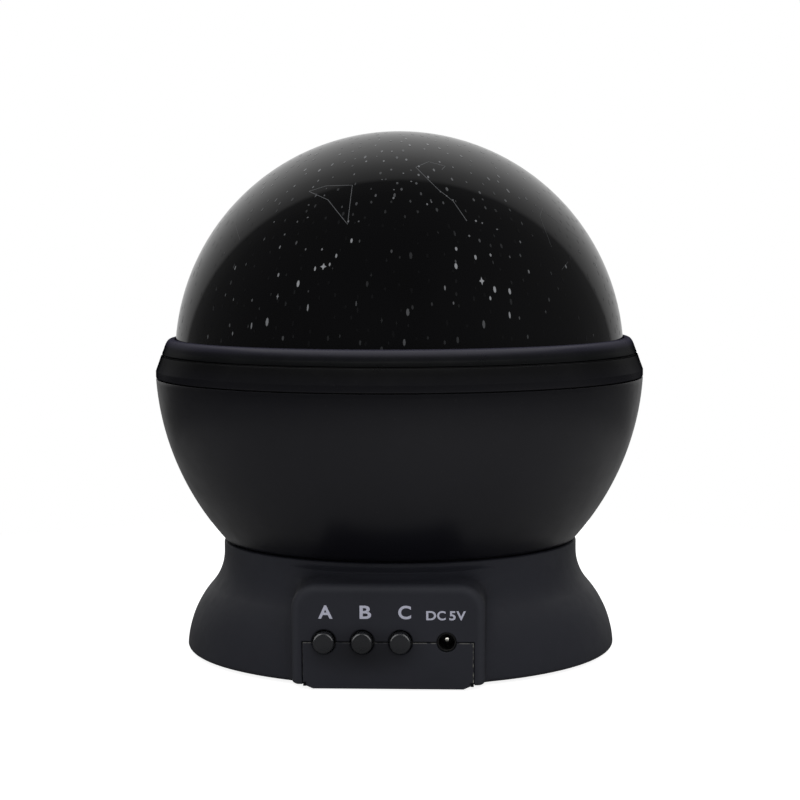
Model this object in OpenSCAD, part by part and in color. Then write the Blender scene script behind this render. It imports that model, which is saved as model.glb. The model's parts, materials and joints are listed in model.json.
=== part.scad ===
// Star projector night light: a glossy star dome on a bowl that a motor turns on a flared foot.
// Millimetres. +Z is up and the controls face -Y. The origin is the middle of the face that it stands on.

/* [Overall] */
// Outer radius of the star dome
dome_r = 57.6; // [46:0.1:70]
// How far the bowl's widest part stands outside the dome
rim_w = 4.9; // [4.6:0.1:12]
// Radius of the neck, where the bowl turns on the foot
neck_r = 45.5; // [44:0.1:50]
// How far the foot's lower edge stands outside the neck
foot_out = 9.6; // [8:0.1:16]
// Height of the foot, from its lower edge to the neck
foot_h = 27.6; // [27:0.1:40]
// Height of the bowl, from the neck to its rim
bowl_h = 42; // [36:0.5:54]

/* [Shells] */
// Wall of the foot and of the control panel
foot_wall = 2; // [1.6:0.1:2.8]
// Wall of the bowl
bowl_wall = 2.2; // [1.8:0.1:3]
// Wall of the star dome
dome_wall = 1.8; // [1.2:0.1:2.6]
// Radius of the hollow curve under the neck
cove_r = 13.3; // [10:0.1:16]
// Radius of the round flare above the lower edge
flare_r = 25.3; // [22:0.1:40]
// Straight height of the neck above the hollow curve
neck_straight = 2.8; // [2:0.1:6]
// Radius of the bowl's side curve
bowl_curve_r = 68.6; // [50:0.1:90]
// Height of the trim ring on the bowl
rim_h = 5.9; // [5:0.1:9]
// Height of the collar round the dome
collar_h = 4; // [3:0.1:7]
// Gap that is seen between the bowl and the neck
neck_gap = 0.5; // [0.3:0.1:1]
// Height of the rubber pads below the lower edge
pad_drop = 0.6; // [0.4:0.1:2]

/* [Control panel] */
// Width of the panel
panel_w = 45.8; // [44:0.1:52]
// How far the panel's face stands in front of the foot's lower edge
panel_proud = 0.9; // [0.5:0.1:5]
// Height of the panel above the lower edge
panel_h = 24.4; // [22:0.1:26]
// Radius of the panel's upper corners
panel_corner_r = 6; // [4:0.5:9]
// Width of the flap that closes the lower half of the panel
flap_w = 40.2; // [38:0.1:41]
// Height of the line between the panel's halves, above the lower edge
split_h = 10.8; // [10:0.1:12]
// Radius of a push button
button_r = 2.6; // [2:0.1:3.2]
// Travel of a push button
button_travel = 0.8; // [0.5:0.1:1.2]
// How far a push button stands out of the panel
button_proud = 2.4; // [1.5:0.1:4]
// Places of the three buttons along the panel
button_x = [-15, -6, 3];
// Place of the power inlet along the panel
jack_x = 13.8; // [12:0.1:15]
// Radius of the power inlet's centre pin
jack_pin_r = 0.65; // [0.5:0.05:0.8]

/* [Turntable] */
// Outer radius of the bowl's hollow spindle
spindle_r = 22; // [20:0.1:24]
// Wall of the spindle
spindle_wall = 4; // [3:0.1:5]
// Thickness of the foot's deck
deck_t = 2; // [1.5:0.1:3]
// Depth of the deck below the neck
deck_depth = 4.1; // [3.5:0.1:6]
// Thickness of the glide washer
washer_t = 0.8; // [0.6:0.1:1.5]
// Radial clearance of the spindle in the deck
spindle_gap = 0.06; // [0.02:0.01:0.1]

/* [Gear train] */
// Module of the ring gear and its pinion
ring_module = 0.8;
// Teeth of the ring gear
ring_teeth = 72; // [68:1:74]
// Teeth of the pinion that drives it
pinion_teeth = 12; // [11:1:13]
// Module of the motor's pair
motor_module = 0.5;
// Teeth of the idler's large wheel
wheel_teeth = 40; // [36:2:42]
// Teeth of the motor pinion
motor_teeth = 10; // [10:2:12]
// Face width of the ring gear
ring_face = 3.6; // [2.5:0.1:4.5]
// Face width of the idler's large wheel
wheel_face = 2.4; // [1.5:0.1:3]
// Radius of the motor's can
motor_r = 10.2; // [8:0.1:11]
// Height of the motor's can
motor_h = 10; // [8:0.1:10.2]

/* [Lamp] */
// Outer radius of the lamp's column
column_r = 11; // [9:0.1:11.5]
// Wall of the column
column_wall = 1.6; // [1.2:0.1:2.5]
// Height of the lamp board below the dome's centre
board_drop = 8; // [6:0.5:12]
// Distance of each light emitter from the axis
led_ring_r = 5; // [4:0.1:6]

/* [Power] */
// Radius of one cell
cell_r = 5.2; // [5:0.05:5.3]
// Length of one cell over its button
cell_len = 44.5; // [40:0.5:46]
// Length of a battery spring as fitted
spring_len = 5; // [4:0.5:7]

/* [Dome lock] */
// Number of lugs that hold the dome
lug_count = 3; // [2:1:4]
// Angle that one lug takes up
lug_angle = 18; // [10:1:24]
// Turn that locks the dome
lock_angle = 20; // [20:1:30]

/* [Hidden] */
$fn = 96;
eps = 0.01;

// Clearances
slide_gap = 0.25;  // a moulded part in its recess
screw_gap = 0.05;  // a screw in its hole
seat_gap = 0.05;   // two glued or seated faces

// Heights of the main joints between the shells
edge_z = pad_drop;
neck_z = edge_z + foot_h;
seam_z = neck_z + bowl_h;
rim_z = seam_z + rim_h;
collar_z = rim_z + collar_h;
dome_sink = 1;                       // the dome's centre lies this far below the rim
dome_z = rim_z - dome_sink;
body_r = dome_r + rim_w;
foot_r = neck_r + foot_out;
panel_y = foot_r + panel_proud;

// Foot: two arcs that meet smoothly, a cove under the neck and a flare below it
cove_c = [neck_r + cove_r, neck_z - neck_straight];
foot_p = [foot_r, edge_z];
cove_reach = norm(foot_p - cove_c);
cove_dir = (foot_p - cove_c) / cove_reach;
flare_along = (pow(cove_reach, 2) + pow(cove_r + flare_r, 2) - pow(flare_r, 2)) / (2 * cove_reach);
flare_across = sqrt(pow(cove_r + flare_r, 2) - pow(flare_along, 2));
flare_c = cove_c + cove_dir * flare_along + [cove_dir[1], -cove_dir[0]] * flare_across;
blend_angle = 360 + atan2(flare_c[1] - cove_c[1], flare_c[0] - cove_c[0]);

// Foot: deck, cover and lip
deck_top = neck_z - deck_depth;
deck_low = deck_top - deck_t;
lip_r = neck_r - foot_wall;
cover_z = edge_z + 0.3;
cover_t = 2;
cover_top = cover_z + cover_t;
cover_r = flare_radius(foot_wall, cover_z) - slide_gap;
pad_r = 4;
pad_ring = cover_r - pad_r - 0.9;
pad_recess = 0.5;
pad_angles = [45, 135, 225, 315];
cover_screw_ring = lip_r - 4;
cover_screw_r = 1.2;
cover_head_r = 2.3;
cover_head_h = 1.6;
cover_boss_r = 3;
cover_pad_h = 2.5;

// Control panel
split_z = edge_z + split_h;
panel_top = edge_z + panel_h;
panel_edge_r = 1.6;
panel_back = panel_y - 18;           // the panel's block runs back to here, inside the foot
panel_in = panel_y - foot_wall;
button_hole_r = button_r + 0.25;
jack_nose_r = 2.2;
jack_bore_r = 1.9;
jack_hole_r = jack_nose_r + 0.15;
flap_gap = 0.15;
flange_r = button_r + 1;
flange_t = 1;
board_y = panel_y - 11;              // the back of the main board, in front of the axis
board_t = 1.2;
board_front = board_y + board_t;
board_w = 38;
board_screw_x = board_w / 2 - 2.4;
board_screw_z = 17.6;
board_low = cover_top + 0.5;
board_high = 20.4;
switch_w = 6;
switch_d = 3.5;
plunger_d = 0.6;
plunger_r = 1.6;
stem_end = board_front + switch_d + plunger_d + button_travel + 0.1;
jack_w = 6.6;

// Battery bay
cell_pitch = 2 * cell_r + 0.4;
contact_t = 0.4;
bay_wall = 1.2;
bay_hw = 2 * cell_pitch + 0.4;
bay_len = cell_len + spring_len + 2 * contact_t + 0.3;
bay_mid = 1;
bay_y0 = bay_mid - bay_len / 2;
bay_y1 = bay_mid + bay_len / 2;
door_t = 1.6;
cell_z = cover_z + door_t + 0.35 + cell_r;
bay_in_top = cell_z + cell_r + 0.15;
bay_top = bay_in_top + bay_wall;
wire_r = 0.3;

// Battery door hinge
hinge_x = [-14, 14];
hinge_w = 6;
hinge_r = 1;
hinge_y = bay_y1 + 1.6;
hinge_z = cover_z + hinge_r;
stub_r = 0.6;
stub_len = 0.8;
hinge_gap = 0.3;

// Cover screws stand clear of the door's hinge pockets
cover_screw_y = hinge_y + hinge_r + hinge_gap + 0.8 + cover_head_r + 0.3;
cover_screw_turn = max(62, asin(cover_screw_y / cover_screw_ring));
cover_screw_angles = [cover_screw_turn, 180 - cover_screw_turn, 180 + cover_screw_turn, 360 - cover_screw_turn];
pillar_x = cover_screw_ring * cos(cover_screw_turn);
pillar_y = -cover_screw_ring * sin(cover_screw_turn);

// Turntable and gears
deck_bore_r = spindle_r + spindle_gap;
bowl_low = deck_top + washer_t;
spindle_in = spindle_r - spindle_wall;
spindle_end = deck_low - 0.3;
gear_angle = 27;                     // pressure angle that lets small pinions run without undercut
backlash = 0.08;
ring_low = spindle_end - ring_face;
ring_bore_r = spindle_r - spindle_wall - 2;
ring_pitch_r = ring_module * ring_teeth / 2;
pinion_pitch_r = ring_module * pinion_teeth / 2;
idler_x = ring_pitch_r + pinion_pitch_r;
motor_dist = motor_module * (wheel_teeth + motor_teeth) / 2;
motor_x = max(idler_x, bay_hw + bay_wall + motor_r + 0.2);
motor_xy = [motor_x, -sqrt(pow(motor_dist, 2) - pow(motor_x - idler_x, 2))];
motor_angle = atan2(motor_xy[1], motor_xy[0] - idler_x);
wheel_pitch = 360 / wheel_teeth;
wheel_lead = wheel_pitch * round(motor_angle / wheel_pitch) - motor_angle;
motor_turn = motor_angle + 180 - wheel_lead * wheel_teeth / motor_teeth - 180 / motor_teeth;
wheel_low = ring_low - 0.6 - wheel_face;
axle_r = 1;
axle_gap = 0.05;
plate_t = 1.2;
plate_top = wheel_low - 0.8;
plate_low = plate_top - plate_t;
plate_posts = [[idler_x + 2.4, 17], [motor_xy[0] - 6.9, motor_xy[1] - 11], [motor_xy[0] - 0.1, motor_xy[1] - 13]];
post_r = 2.5;
motor_shaft_r = 0.75;
motor_boss_r = 3;
motor_screw_reach = 6;
small_screw_r = 0.8;
small_head_r = 1.6;
small_head_h = 1;
ring_screw_ring = spindle_r - spindle_wall / 2;

// Lamp
board2_z = dome_z - board_drop;
led_board_t = 1.2;
column_in = column_r - column_wall;
column_flange_z = bay_top + 2.3;
column_flange_t = 1.6;
column_flange_r = ring_bore_r - 0.8;
column_screw_ring = column_r + 2.2;
column_boss_r = 1.9;
column_screw_angles = [90, 210, 330];
led_r = 2.5;
led_body_h = 6;
lens_wall = 1;
lens_r = column_r + 0.15 + lens_wall;
lens_low = board2_z - 4;
lens_high = board2_z + 10;

// Reflector tray
tray_t = 1.4;
tray_hole_r = lens_r + 0.7;
tray_edge_z = seam_z - 5.6;
tray_dish = 7.5;
tray_post_ring = 34;
tray_post_r = 3;

// Dome lock: the collar's skirt, the rim's inner ledge and the notches between
collar_out_r = dome_r + 3.4;
skirt_t = 0.8;
skirt_in = dome_r + seat_gap;
skirt_r = skirt_in + skirt_t;
ledge_r = skirt_r + 0.15;
lug_r = skirt_r + 0.95;
lug_t = 2;
notch_r = lug_r + 0.15;
notch_angle = lug_angle + 4;
lug_top = seam_z - 0.3;
skirt_low = lug_top - lug_t;
seal_in = notch_r + 0.5;
seal_gap = 0.12;
seal_r = collar_out_r - 0.45;
seal_t = 0.8;
shelf_t = 1.2;
dome_skirt = 5;                      // straight part of the dome below its centre
tongue_r = body_r - bowl_wall;
tongue_t = 1;
tongue_h = 1.6;
rim_straight = 1.8;                  // upright height of the rim's outer face
collar_top_r = dome_r + 1.1;

// Bowl: its side is one arc from the neck to the rim
bowl_foot = [neck_r - 0.35, neck_z + neck_gap];
bowl_lip = [body_r, seam_z];
bowl_chord = norm(bowl_lip - bowl_foot);
bowl_chord_dir = (bowl_lip - bowl_foot) / bowl_chord;
bowl_sag = sqrt(pow(bowl_curve_r, 2) - pow(bowl_chord / 2, 2));
bowl_c = (bowl_lip + bowl_foot) / 2 + [-bowl_chord_dir[1], bowl_chord_dir[0]] * bowl_sag;
bowl_floor_t = 2;
bowl_floor = bowl_low + bowl_floor_t;
bowl_plug_r = lip_r - 0.5;

// Cables run inside the foot and up the column. Each route is a list of points.
cable_r = 0.9;
thin_cable_r = 0.7;
plug_y = -board_y + 3.25;
bay_front = bay_y0 - bay_wall;
led_route_y = concat([for (f = [0, 0.05, 0.22, 0.45, 0.68, 0.86]) [plug_y + f * (-7 - plug_y), 0]],
    [[-7, 0.2], [-4, 1.4], [-2, 3.6], [-0.8, 7], [-0.2, 12], [0, 20], [0, 34]]);
motor_end = motor_xy[1] - motor_r - 0.1;
motor_route = [[14, plug_y, 8], [14, plug_y + 0.9, 8], [pillar_x - 4.7, pillar_y - 3.1, 7.8],
    [pillar_x - 4.6, pillar_y - 0.1, 7.6], [pillar_x - 3.9, pillar_y + 2.5, 7.4], [pillar_x - 1.9, pillar_y + 4.5, 7.3],
    [pillar_x + 1.5, pillar_y + 5.7, 7.2], [25, bay_front - 2.7, 7.3], [29.4, bay_front - 1.4, 7.6],
    [motor_x - 1.2, motor_end - 2.4, 7.9], [motor_x, motor_end - 1, 8], [motor_x, motor_end, 8]];
battery_run = bay_front - 1 - plug_y - 0.9;
battery_x = min(11.2, pillar_x - 4.2);
battery_route = [[-10, plug_y, 8], [-10, plug_y + 0.9, 8], [-(10 + battery_x) / 2, plug_y + 0.9 + 0.16 * battery_run, 7.6],
    [-battery_x, plug_y + 0.9 + 0.41 * battery_run, 7.2], [-battery_x, plug_y + 0.9 + 0.62 * battery_run, 7.2],
    [-(10 + battery_x) / 2, plug_y + 0.9 + 0.83 * battery_run, 7.6], [-10, bay_front - 1, 8], [-10, bay_front - 0.05, 8]];

// Points on an arc from angle a0 to a1, as [radius, height] pairs
function arc(c, r, a0, a1, n) =
    [for (i = [0:n]) let (a = a0 + (a1 - a0) * i / n) [c[0] + r * cos(a), c[1] + r * sin(a)]];

// Radius of the flared part of the foot at height z, t inside its outer face
function flare_radius(t, z) = flare_c[0] + sqrt(pow(flare_r - t, 2) - pow(z - flare_c[1], 2));

// The foot's side from height z up to the neck, t inside its outer face
function foot_side(t, z) = concat(
    arc(flare_c, flare_r - t, asin((z - flare_c[1]) / (flare_r - t)), blend_angle - 180, 12),
    arc(cove_c, cove_r + t, blend_angle, 180, 12));

// The bowl's side, t inside its outer face, from height z0 to z1
function bowl_angle(t, z) = asin((z - bowl_c[1]) / (bowl_curve_r - t));
function bowl_side(t, z0, z1) = arc(bowl_c, bowl_curve_r - t, bowl_angle(t, z0), bowl_angle(t, z1), 20);

// Height of the tray's upper face at radius r
tray_edge_r = bowl_side(bowl_wall, tray_edge_z - tray_t, tray_edge_z)[0][0] - 0.25;
function tray_height(r) =
    tray_edge_z - tray_dish + tray_dish * pow((r - tray_hole_r) / (tray_edge_r - tray_hole_r), 2);

// Involute teeth: the half angle of a tooth at radius r
function involute(a) = tan(a) * 180 / PI - a;
function tooth_half(teeth, m, r) =
    let (rp = m * teeth / 2, rb = rp * cos(gear_angle), ri = max(r, rb))
    90 / teeth - (backlash / 2) / rp * 180 / PI + involute(gear_angle) - involute(acos(rb / ri));
function gear_points(teeth, m) =
    let (rp = m * teeth / 2, rb = rp * cos(gear_angle), ra = rp + 0.95 * m, rf = rp - 1.2 * m,
        r0 = max(rb, rf), up = [for (i = [0:3]) r0 + (ra - r0) * i / 3],
        side = rf < rb - eps ? concat([rf], up) : up)
    [for (k = [0:teeth - 1], s = [-1, 1], i = [0:len(side) - 1])
        let (r = side[s < 0 ? i : len(side) - 1 - i], a = 360 * k / teeth + s * tooth_half(teeth, m, r))
        r * [cos(a), sin(a)]];

// A closed tube along a list of points. No tangent may point along ref.
function tangents(p) = [for (i = [0:len(p) - 1])
    let (d = p[min(i + 1, len(p) - 1)] - p[max(i - 1, 0)]) d / norm(d)];
module tube(p, r, ref, sides = 8) {
    t = tangents(p);
    n = len(p);
    ring = [for (i = [0:n - 1])
        let (u = cross(t[i], ref) / norm(cross(t[i], ref)), v = cross(t[i], u))
        for (k = [0:sides - 1]) p[i] + r * (cos(360 * k / sides) * u + sin(360 * k / sides) * v)];
    skin = [for (i = [0:n - 2], k = [0:sides - 1], half = [0, 1])
        let (a = i * sides + k, b = i * sides + (k + 1) % sides)
        half == 0 ? [a, b, a + sides] : [b, b + sides, a + sides]];
    ends = [[for (k = [sides - 1:-1:0]) k], [for (k = [0:sides - 1]) (n - 1) * sides + k]];
    polyhedron(points = ring, faces = [for (f = concat(skin, ends)) [for (i = [len(f) - 1:-1:0]) f[i]]]);
}

// A self-tapping screw that points up from its head's lower face at z = 0
module screw(head_r, head_h, shank_r, length) {
    difference() {
        union() {
            cylinder(r = head_r, h = head_h);
            cylinder(r = shank_r, h = length);
        }
        for (turn = [0, 90])
            rotate(turn) translate([-head_r * 0.6, -head_r * 0.13, -eps])
                cube([head_r * 1.2, head_r * 0.26, head_h * 0.55]);
    }
}
module small_screw(length) screw(small_head_r, small_head_h, small_screw_r, length);

// A rod along Y, from y0 back to y1
module rod_y(x, z, r, y0, y1) translate([x, y1, z]) rotate([90, 0, 0]) cylinder(r = r, h = y1 - y0);

// A block from one corner to the other
module block(a, b) translate(a) cube(b - a);

module wedge_ring(r0, r1, z0, z1, mid, width)
    rotate(mid - width / 2) rotate_extrude(angle = width)
        translate([r0, z0]) square([r1 - r0, z1 - z0]);

// ---- Foot ----

// The control panel's block, t inside its outer faces: three outlines that meet
module panel_block(t) {
    hw = panel_w / 2 - t;
    top = panel_top - t;
    low = edge_z - (t > 0 ? 1 : 0);
    front = panel_y - t;
    c = max(panel_corner_r - t, 1);
    e = max(panel_edge_r - t, 0.4);
    depth = front - panel_back;
    intersection() {
        translate([0, -panel_back, 0]) rotate([90, 0, 0]) linear_extrude(depth + 1)
            polygon(concat([[-hw, low], [hw, low]], arc([hw - c, top - c], c, 0, 90, 8),
                arc([c - hw, top - c], c, 90, 180, 8)));
        rotate([90, 0, 90]) linear_extrude(panel_w + 2, center = true)
            polygon(concat([[-panel_back, low], [-panel_back, top + 1]],
                arc([e - front, top - e], e, 90, 180, 6), [[-front, low]]));
        translate([0, 0, low - 1]) linear_extrude(panel_h + 4)
            polygon(concat([[hw, -panel_back], [-hw, -panel_back]],
                arc([e - hw, e - front], e, 180, 270, 6), arc([hw - e, e - front], e, 270, 360, 6)));
    }
}

module foot_solid(t, z0, z1) {
    side = foot_side(t, z0);
    rotate_extrude() polygon(concat([[0, z0]], side, [[neck_r - t, z1], [0, z1]]));
}

module panel_holes() {
    for (x = button_x) rod_y(x, split_z, button_hole_r, -panel_y - 1, -panel_in + 1);
    rod_y(jack_x, split_z, jack_hole_r, -panel_y - 1, -panel_in + 1);
}

module base_shell() color([0.15, 0.15, 0.17]) difference() {
    union() {
        difference() {
            union() {
                foot_solid(0, edge_z, neck_z);
                panel_block(0);
            }
            foot_solid(foot_wall, edge_z - 1, deck_low);
            panel_block(foot_wall);
            translate([0, 0, deck_top]) cylinder(r = lip_r, h = deck_depth + 1);
        }
        for (a = cover_screw_angles) rotate(a) translate([cover_screw_ring, 0, cover_top + cover_pad_h])
            cylinder(r = cover_boss_r, h = deck_low - cover_top - cover_pad_h + eps);
        for (p = plate_posts) translate([p[0], p[1], plate_top])
            cylinder(r = post_r, h = deck_low - plate_top + eps);
        translate([idler_x, 0, deck_low - 0.25]) cylinder(r = 2.4, h = 0.25 + eps);
        intersection() {
            union() {
                foot_solid(0.5, edge_z, neck_z);
                panel_block(0.5);
            }
            for (x = [-1, 1]) block([x * board_screw_x - 1.9, -board_y + seat_gap, 14],
                [x * board_screw_x + 1.9, -board_y + 4, max(deck_low, panel_top - foot_wall) + eps]);
        }
    }
    translate([0, 0, deck_low - 1]) cylinder(r = deck_bore_r, h = deck_t + 2);
    for (a = cover_screw_angles) rotate(a) translate([cover_screw_ring, 0, edge_z])
        cylinder(r = cover_screw_r + screw_gap, h = 14);
    for (p = plate_posts) translate([p[0], p[1], plate_top - 1]) cylinder(r = small_screw_r + screw_gap, h = 6);
    translate([idler_x, 0, deck_low - 1]) cylinder(r = axle_r + screw_gap, h = 2.4);
    block([-flap_w / 2 - flap_gap, -panel_y - 1, edge_z - 1], [flap_w / 2 + flap_gap, -panel_in + eps, split_z]);
    panel_holes();
    for (x = [-1, 1]) rod_y(x * board_screw_x, board_screw_z, small_screw_r + screw_gap, -board_y - 1, -board_y + 3);
}

module bay_cavity() block([-bay_hw, bay_y0, cover_z - 1], [bay_hw, bay_y1, bay_in_top]);

module bottom_cover() color([0.14, 0.14, 0.16]) difference() {
    union() {
        translate([0, 0, cover_z]) cylinder(r = cover_r, h = cover_t);
        block([-flap_w / 2, -panel_y, cover_z], [flap_w / 2, -panel_in + 6, cover_top]);
        block([-flap_w / 2, -panel_y, edge_z], [flap_w / 2, -panel_in, split_z - flap_gap]);
        block([-bay_hw - bay_wall, bay_y0 - bay_wall, cover_z], [bay_hw + bay_wall, bay_y1 + bay_wall, bay_top]);
        for (x = hinge_x) block([x - hinge_w / 2 - 2.2, bay_y1, cover_z], [x + hinge_w / 2 + 2.2, hinge_y + 2.6, hinge_z + 2.6]);
        for (a = cover_screw_angles) rotate(a) translate([cover_screw_ring, 0, cover_z])
            cylinder(r = cover_boss_r + 1.2, h = cover_t + cover_pad_h);
        for (a = column_screw_angles) rotate(a) translate([column_screw_ring, 0, bay_top - eps])
            cylinder(r = column_boss_r, h = column_flange_z - bay_top + eps);
    }
    bay_cavity();
    panel_holes();
    for (x = hinge_x) {
        block([x - hinge_w / 2 - 0.3, bay_y1 - 1, cover_z - 1], [x + hinge_w / 2 + 0.3, hinge_y + hinge_r + hinge_gap, hinge_z + hinge_r + hinge_gap]);
        translate([x - hinge_w / 2 - stub_len - 0.4, hinge_y, hinge_z]) rotate([0, 90, 0])
            cylinder(r = stub_r + axle_gap, h = hinge_w + 2 * stub_len + 0.8);
    }
    block([-5.4, bay_y0 - 4, cover_z - 1], [5.4, bay_y0 + 1, cover_top + 1]);
    for (a = cover_screw_angles) rotate(a) translate([cover_screw_ring, 0, 0]) {
        translate([0, 0, cover_z - 1]) cylinder(r = cover_head_r + 0.3, h = 1 + cover_head_h + 0.4);
        cylinder(r = cover_screw_r + 0.15, h = cover_top + cover_pad_h + 1);
    }
    for (a = column_screw_angles) rotate(a) translate([column_screw_ring, 0, bay_in_top + 0.4])
        cylinder(r = small_screw_r + screw_gap, h = 6);
    for (a = pad_angles) rotate(a) translate([pad_ring, 0, cover_z - 1]) cylinder(r = pad_r + 0.1, h = 1 + pad_recess);
}

module battery_door() color([0.14, 0.14, 0.16]) difference() {
    union() {
        block([0.2 - bay_hw, bay_y0 + 0.2, cover_z], [bay_hw - 0.2, bay_y1 - 0.5, cover_z + door_t]);
        block([-5, bay_y0 - 3.6, cover_z], [5, bay_y0 + 1, cover_z + 1.2]);
        for (x = hinge_x) {
            block([x - hinge_w / 2, bay_y1 - 2, cover_z], [x + hinge_w / 2, hinge_y, cover_z + door_t]);
            translate([x - hinge_w / 2, hinge_y, hinge_z]) rotate([0, 90, 0]) cylinder(r = hinge_r, h = hinge_w);
            translate([x - hinge_w / 2 - stub_len, hinge_y, hinge_z]) rotate([0, 90, 0])
                cylinder(r = stub_r, h = hinge_w + 2 * stub_len);
        }
    }
    for (i = [0:4]) block([-6, bay_y0 + 4 + 1.8 * i, cover_z - 1], [6, bay_y0 + 4.8 + 1.8 * i, cover_z + 0.4]);
}

module rubber_feet() color([0.08, 0.08, 0.08])
    for (a = pad_angles) rotate(a) translate([pad_ring, 0, 0]) cylinder(r = pad_r, h = cover_z + pad_recess);

module cover_screws() color("silver")
    for (a = cover_screw_angles) rotate(a) translate([cover_screw_ring, 0, cover_z + 0.4])
        screw(cover_head_r, cover_head_h, cover_screw_r, 11);

// ---- Power ----

// Cell number i lies along Y. Even cells have their button at the back.
function cell_x(i) = (i - 1.5) * cell_pitch;
function cell_front(i) = bay_y0 + contact_t + (i % 2 == 0 ? spring_len : 0.15);

module battery_cells() color([0.72, 0.72, 0.7])
    for (i = [0:3]) {
        y0 = cell_front(i);
        nub_h = 1;
        body0 = i % 2 == 0 ? y0 : y0 + nub_h;
        rod_y(cell_x(i), cell_z, cell_r, body0, body0 + cell_len - nub_h);
        rod_y(cell_x(i), cell_z, 1.9, y0, y0 + cell_len);
    }

spring_turns = 3;
spring_big_r = 3.4;
spring_small_r = 2.5;
// A conical spring from z = 0 to its fitted length, with straight ends along its axis
spring_path = concat(
    [[spring_big_r, 0, 0.02]],
    [for (i = [0:8 * spring_turns]) let (f = i / (8 * spring_turns), a = 360 * spring_turns * f,
        r = spring_big_r + (spring_small_r - spring_big_r) * f)
        [r * cos(a), r * sin(a), 2 * wire_r + (spring_len - 4 * wire_r) * f]],
    [[spring_small_r, 0, spring_len - 0.02]]);
spring_pitch = (spring_len - 4 * wire_r) / spring_turns;
echo(spring_least_gap = min([for (i = [0:len(spring_path) - 1], j = [0:len(spring_path) - 1])
    if (j > i + 4) norm(spring_path[i] - spring_path[j])]) - 2 * wire_r);

module battery_springs() color("silver")
    for (i = [0:3])
        translate([cell_x(i), i % 2 == 0 ? bay_y0 + contact_t : bay_y1 - contact_t, cell_z])
            rotate([i % 2 == 0 ? -90 : 90, 0, 0]) tube(spring_path, wire_r, [0.02, 0.03, 1], 6);

// Strips that join neighbouring cells at each end of the bay
module contact_strip(x0, x1, y) block([x0, y, cell_z - 4], [x1, y + contact_t, cell_z + 4]);

module battery_contacts() color("silver") {
    reach = 4.4;
    y_front = bay_y0 + eps;
    y_back = bay_y1 - contact_t - eps;
    contact_strip(cell_x(0) - reach, cell_x(0) + reach, y_front);
    contact_strip(cell_x(1) - reach, cell_x(2) + reach, y_front);
    contact_strip(cell_x(3) - reach, cell_x(3) + reach, y_front);
    contact_strip(cell_x(0) - reach, cell_x(1) + reach, y_back);
    contact_strip(cell_x(2) - reach, cell_x(3) + reach, y_back);
}

module battery_cable() color("firebrick")
    for (s = [-1, 1]) translate([0, 0, s * (thin_cable_r + 0.05)]) tube(battery_route, thin_cable_r, [0, 0, 1]);

// ---- Controls ----

module main_board() color([0.1, 0.35, 0.2]) difference() {
    block([-board_w / 2, -board_front, board_low], [board_w / 2, -board_y, board_high]);
    for (x = [-1, 1]) rod_y(x * board_screw_x, board_screw_z, small_screw_r + 0.2, -board_front - 1, -board_y + 1);
}

module board_components() color([0.12, 0.12, 0.12]) {
    block([-4, -board_front - 1.5, 4.2], [2.2, -board_front, 8]);
    rod_y(8, 16.4, 2, -board_front - 4.4, -board_front);
    for (x = [-12, -8, -3]) block([x, -board_front - 0.6, 17.6], [x + 2, -board_front, 18.6]);
    block([11.5, -board_y, 5.2], [16.5, -board_y + 3.2, 10.8]);
    block([-12.5, -board_y, 5.2], [-7.5, -board_y + 3.2, 10.8]);
    block([-3, -board_y, bay_top - 1.4], [3, -board_y + 3.2, bay_top + 3.4]);
}

module board_screws() color("silver")
    for (x = [-1, 1]) translate([x * board_screw_x, -board_front - small_head_h, board_screw_z]) rotate([-90, 0, 0]) small_screw(4.6);

module tact_switches() color([0.2, 0.2, 0.2])
    for (x = button_x) {
        block([x - switch_w / 2, -board_front - switch_d, split_z - switch_w / 2], [x + switch_w / 2, -board_front, split_z + switch_w / 2]);
        rod_y(x, split_z, plunger_r, -board_front - switch_d - plunger_d, -board_front - switch_d + eps);
    }

module dc_jack() color([0.05, 0.05, 0.05]) difference() {
    union() {
        block([jack_x - jack_w / 2, -panel_in, split_z - jack_w / 2], [jack_x + jack_w / 2, -board_front, split_z + jack_w / 2]);
        rod_y(jack_x, split_z, jack_nose_r, -panel_y + 0.6, -panel_in + eps);
    }
    rod_y(jack_x, split_z, jack_bore_r, -panel_y - 1, -board_front - 1.2);
}

module jack_pin() color("silver") rod_y(jack_x, split_z, jack_pin_r, -panel_y + 3.4, -board_front - 1.2);

// A cap whose face stands out of the panel, a flange behind the panel and a stem to the switch
module push_button(x) color([0.13, 0.13, 0.14]) translate([x, 0, split_z]) rotate([90, 0, 0]) {
    face = panel_y + button_proud;
    flange_y = panel_in - 0.1;
    rotate_extrude() polygon(concat(
        [[0, stem_end], [plunger_r, stem_end], [plunger_r, flange_y - flange_t], [flange_r, flange_y - flange_t],
            [flange_r, flange_y], [button_r, flange_y]],
        arc([button_r - 0.35, face - 0.35], 0.35, 0, 90, 4),
        [[button_r - 0.7, face - 0.12], [0, face - 0.2]]));
}
module button_a() push_button(button_x[0]);
module button_b() push_button(button_x[1]);
module button_c() push_button(button_x[2]);

// ---- Drive ----

module gear(teeth, m, low, face, bore) difference() {
    translate([0, 0, low]) linear_extrude(face) polygon(gear_points(teeth, m));
    translate([0, 0, low - 1]) cylinder(r = bore, h = face + 2);
}

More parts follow.
